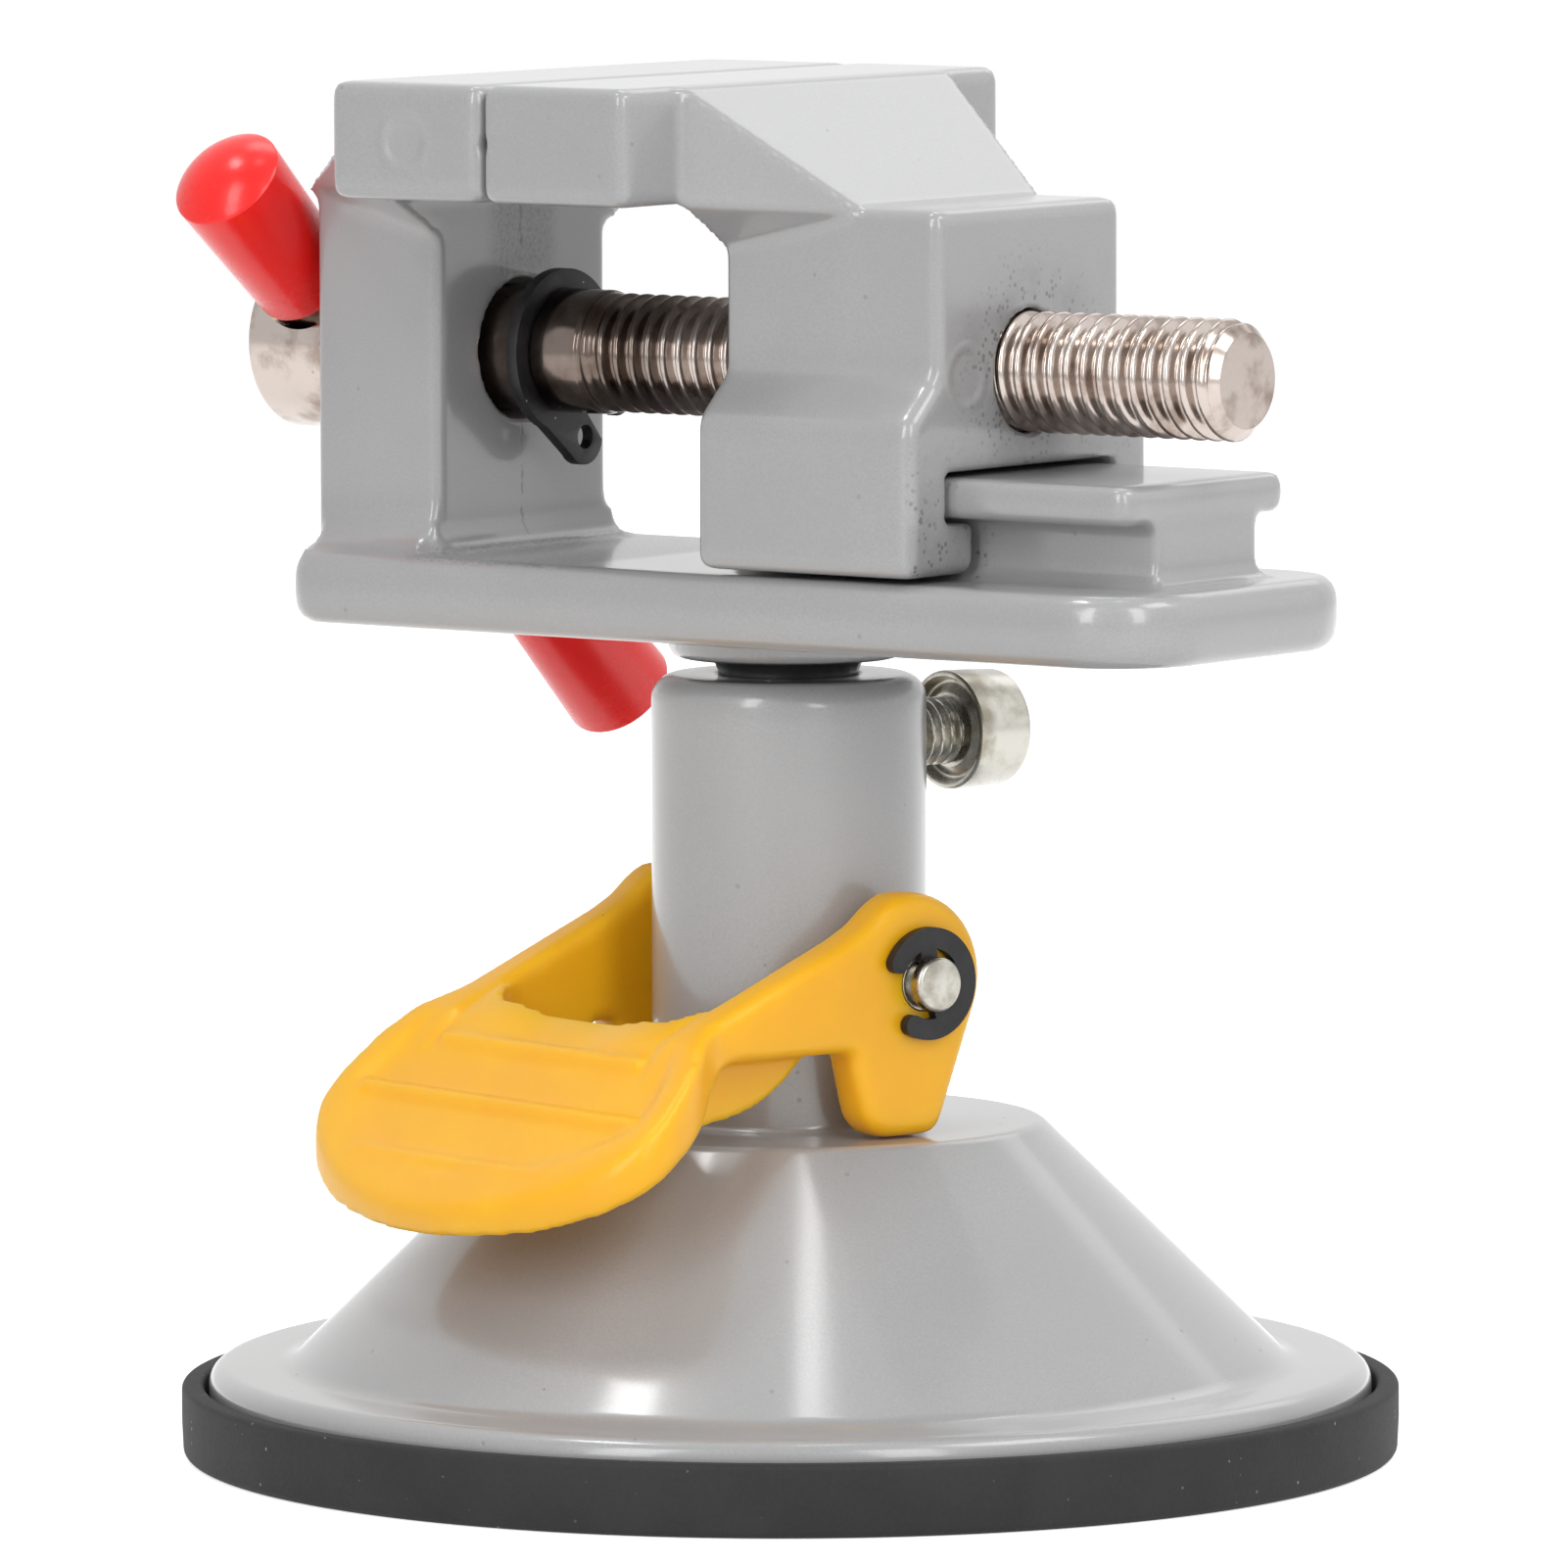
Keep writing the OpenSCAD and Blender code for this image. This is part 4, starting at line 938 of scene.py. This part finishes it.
class ScrewOperator(Builder):
    """Lead screw with its cross-drilled head, and the circlip on its shank"""

    bl_idname = "vise.add_lead_screw"
    bl_label = "Lead screw and circlip"

    def build(self, scene):
        s = scene.vise_screws
        z, r, pitch = s.screw_height / MM, s.thread_radius / MM, s.pitch / MM
        head = turned(rounded([
            (0, -36.2), (5.2, -36.2, 0.5), (5.2, -28.8, 0.4), (3.65, -28.8), (3.65, -17.0), (3.15, -17.0),
            (3.15, -16.15), (3.65, -16.15, 0.1), (3.65, -12.9, 0.3), (3.1, -12.3), (3.1, -12.0), (0, -12.0)], 5), 96)
        thread = threaded(r, -12.9, 32.4, pitch, 0.62, 1.6, 1.0, 96, 0.75, 14)
        turn = Matrix.Translation((0, 0, z)) @ Matrix.Rotation(math.pi / 2, 4, "Y")
        moved(head, turn)
        hole = moved(rod((0, 0), 2.05, -10, 10), bar_matrix(s))
        sinks = []
        for way in (0, math.pi):
            cone = turned([(0, 3.6), (2.05, 3.6), (3.3, 5.3), (3.3, 7), (0, 7)], 64)
            sinks.append(moved(cone, bar_matrix(s) @ Matrix.Rotation(way, 4, "X")))
        combine(head, [hole] + sinks, "DIFFERENCE")
        screw = combine(head, [moved(thread, turn)])
        finished(screw, "lead_screw_steel", "screw", "nickel_steel", ["lead_screw"], 40)
        near, far, opening, spread = -16.95, -16.2, -49, 22
        ring = rod((0, z), 4.8, near, far, "X", 96)
        lugs, holes = [], []
        for side in (-1, 1):
            place = self.turn_to(z, opening + side * spread)
            lugs.append(moved(slab(teardrop(4.75, 5.5, 1.65, side), near, far, "X"), place))
            holes.append(moved(rod((5.5, 0), 0.72, near - 1, far + 1, "X", 32), place))
        combine(ring, lugs)
        slit = moved(block((near - 1, 0, -1), (far + 1, 9, 1)), self.turn_to(z, opening))
        combine(ring, [rod((0, z), 3.2, near - 1, far + 1, "X", 96), slit] + holes, "DIFFERENCE")
        edges_rounded(ring, 0.1, 40, 2)
        finished(ring, "circlip_ring", "screw", "black_steel", ["screw_circlip"])

    @staticmethod
    def turn_to(z, degrees):
        """Turns a shape drawn along +Y round the screw's axis at height z."""
        return Matrix.Translation((0, 0, z)) @ Matrix.Rotation(math.radians(degrees), 4, "X")


def teardrop(neck, centre, radius, side):
    """Lug of a circlip along the first axis, which runs out along the ring on one side."""
    far = [(neck * math.cos(t), side * neck * math.sin(t)) for t in (math.radians(58), math.radians(44))]
    nose = arc((centre, 0), radius, 72 * side, -100 * side, 14)
    return [(neck - 1.2, 0)] + far + nose


class HandleOperator(Builder):
    """Handle bar with its two moulded caps"""

    bl_idname = "vise.add_handle"
    bl_label = "Handle"

    def build(self, scene):
        s = scene.vise_screws
        r = s.bar_radius / MM
        bar = turned(rounded([(0, -33.7), (r, -33.7, 0.4), (r, 14.6, 0.4), (0, 14.6)], 4), 64)
        finished(moved(bar, bar_matrix(s)), "bar_steel", "handle", "nickel_steel", ["handle_bar"])
        for name, start, way, node in (("cap_upper", 5.35, 0, "handle_cap_upper"),
                                       ("cap_lower", 24.45, math.pi, "handle_cap_lower")):
            profile = rounded([
                (2.02, start + 0.25, 0.05), (2.3, start, 0.2), (3.0, start, 0.6), (3.4, start + 10.0, 0.08),
                (3.28, start + 10.12)], 5) + arc((0, start + 6.55), 4.85, 47.4, 90, 12) + [
                (0, start + 9.3), (2.02, start + 9.3)]
            cap = turned(profile, 96)
            moved(cap, bar_matrix(s) @ Matrix.Rotation(way, 4, "X"))
            finished(cap, name, "handle", "red_plastic", [node])


class InnerOperator(Builder):
    """Finishes for the pieces inside the base, which keep their CAD shapes"""

    bl_idname = "vise.finish_inner_pieces"
    bl_label = "Inner pieces"

    def build(self, scene):
        for node in ("plunger", "cup_plate", "cup_stud"):
            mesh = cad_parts[node].data
            mesh.materials.clear()
            mesh.materials.append(finish_of("zinc_steel"))


def direction(azimuth, elevation):
    """From the object towards these angles, where no azimuth is along -Y."""
    level = math.cos(elevation)
    return Vector((math.sin(azimuth) * level, -math.cos(azimuth) * level, math.sin(elevation)))


class StageOperator(Builder):
    """Floor, softboxes, world and camera"""

    bl_idname = "vise.set_stage"
    bl_label = "Stage"

    # The world's light on the object, and the glow that whitens the floor for the camera
    FILL, LIFT = 0.36, 0.62
    # Name, angle round the object from the camera, elevation, distance, width, height, power
    LAMPS = [
        ("front_left", -33, 26, 0.95, 0.22, 0.70, 2.95),
        ("front_right", 24, 26, 0.95, 0.22, 0.70, 2.6),
        ("side_right", 91, 26, 0.95, 0.75, 0.80, 0.75),
        ("top_fill", 62, 52, 0.95, 0.40, 0.30, 2.0),
        ("overhead", 40, 84.6, 0.95, 0.12, 0.03, 0.2),
        ("overhead_left", -84, 69, 0.95, 0.19, 0.11, 1.15),
        ("back_top", 170, 62, 0.95, 0.40, 0.30, 1.0),
        ("back_right", 150, 37, 0.95, 0.35, 0.35, 0.35),
    ]

    def build(self, scene):
        look = scene.vise_stage
        deselect()
        bpy.ops.mesh.primitive_circle_add(vertices=96, radius=look.floor_radius, fill_type="NGON",
                                          location=(0, 0, -0.00002))
        floor = bpy.context.object
        floor.name = "floor"
        floor.data.materials.append(self.floor_finish(look))
        for lamp in self.LAMPS:
            self.softbox(look, *lamp)
        world = bpy.data.worlds.new("Studio")
        scene.world = world
        tree = emptied(world)
        strength = wire(tree, "ShaderNodeMapRange", {},
                        {"Value": self.seen_rays(tree), "To Min": self.FILL, "To Max": 1.0})
        sky = wire(tree, "ShaderNodeBackground", {}, {"Color": (1, 1, 1), "Strength": strength})
        wire(tree, "ShaderNodeOutputWorld", {}, {0: sky})
        self.camera(scene, look)
        scene.view_settings.view_transform = "Standard"

    @staticmethod
    def seen_rays(tree):
        """1 for camera, glossy and transmission rays."""
        path = tree.nodes.new("ShaderNodeLightPath")
        seen = path.outputs["Is Camera Ray"]
        for kind in ("Is Glossy Ray", "Is Transmission Ray"):
            seen = wire(tree, "ShaderNodeMath", {"operation": "MAXIMUM"}, {0: seen, 1: path.outputs[kind]})
        return seen

    @staticmethod
    def floor_finish(look):
        """A matt floor that looks white to the camera and keeps the object's shadow."""
        material = bpy.data.materials.new("Floor")
        tree = emptied(material)
        bounce = wire(tree, "ShaderNodeBsdfDiffuse", {}, {"Color": (0.8, 0.8, 0.8)})
        shown = wire(tree, "ShaderNodeBsdfDiffuse", {}, {"Color": tuple(look.floor)})
        lift = wire(tree, "ShaderNodeEmission", {}, {"Strength": StageOperator.LIFT})
        both = wire(tree, "ShaderNodeAddShader", {}, {0: shown, 1: lift})
        mixed = wire(tree, "ShaderNodeMixShader", {}, {0: StageOperator.seen_rays(tree), 1: bounce, 2: both})
        wire(tree, "ShaderNodeOutputMaterial", {}, {0: mixed})
        return material

    @staticmethod
    def softbox(look, name, azimuth, elevation, distance, width, height, power):
        """An oblong area light that faces the object, placed by its angles from the camera."""
        deselect()
        aim = direction(look.azimuth + math.radians(azimuth), math.radians(elevation))
        place = Vector((0, 0, 0.045)) + aim * distance
        turn = (-aim).to_track_quat("-Z", "Y").to_euler()
        bpy.ops.object.light_add(type="AREA", location=place, rotation=turn)
        lamp = bpy.context.object
        lamp.name = name
        lamp.data.shape = "RECTANGLE"
        lamp.data.size, lamp.data.size_y = width, height
        lamp.data.energy = power

    @staticmethod
    def camera(scene, look):
        """The photograph's camera: a long lens, a little off centre."""
        roll = math.radians(-0.1372)
        back = direction(look.azimuth, look.elevation)
        right = Vector((math.cos(look.azimuth), math.sin(look.azimuth), 0))
        up = back.cross(right)
        right, up = right * math.cos(roll) + up * math.sin(roll), up * math.cos(roll) - right * math.sin(roll)
        place = Vector((0, 0, 39.0158 * MM)) + back * look.distance
        turn = Matrix((right, up, back)).transposed().to_4x4()
        lens = bpy.data.cameras.new("camera")
        lens.sensor_width = 36.0
        lens.sensor_fit = "HORIZONTAL"
        lens.lens = PHOTO_FOCAL / PHOTO_SIDE * lens.sensor_width
        lens.shift_x = -(PHOTO_AXIS - PHOTO_SIDE / 2) / PHOTO_SIDE
        lens.clip_start = 0.01
        lens.clip_end = 50
        camera = bpy.data.objects.new("camera", lens)
        camera.matrix_world = Matrix.Translation(place) @ turn
        scene.collection.objects.link(camera)
        scene.camera = camera


class VisePanel(bpy.types.Panel):
    """Lists the vise's pieces and sizes"""

    bl_idname = "VISE_PT_pieces"
    bl_label = "Suction base vise"
    bl_space_type = "VIEW_3D"
    bl_region_type = "UI"
    bl_category = "Vise"

    def draw(self, context):
        for group in ("vise_base", "vise_head", "vise_screws", "vise_lever", "vise_colours", "vise_stage"):
            box = self.layout.box()
            box.label(text=group.split("_")[1].title())
            settings = getattr(context.scene, group)
            for name in settings.__annotations__:
                box.prop(settings, name)
        for operator in OPERATORS:
            self.layout.operator(operator.bl_idname)


GROUPS = {
    "vise_base": BaseSizes, "vise_head": HeadSizes, "vise_screws": ScrewSizes,
    "vise_lever": LeverSizes, "vise_colours": Colours, "vise_stage": StageLook,
}
# In the order that they run in
OPERATORS = [
    StageOperator, CupOperator, BaseOperator, LeverOperator, PinOperator, LockOperator, HeadOperator,
    JawOperator, ScrewOperator, HandleOperator, InnerOperator,
]


def register():
    for kind in [*GROUPS.values(), *OPERATORS, VisePanel]:
        bpy.utils.register_class(kind)
    for name, kind in GROUPS.items():
        setattr(bpy.types.Scene, name, PointerProperty(type=kind))


def unregister():
    for name in GROUPS:
        delattr(bpy.types.Scene, name)
    for kind in reversed([*GROUPS.values(), *OPERATORS, VisePanel]):
        bpy.utils.unregister_class(kind)


def main():
    register()
    for operator in OPERATORS:
        getattr(bpy.ops.vise, operator.bl_idname.split(".")[1])()
    deselect()


if __name__ == "__main__":
    main()
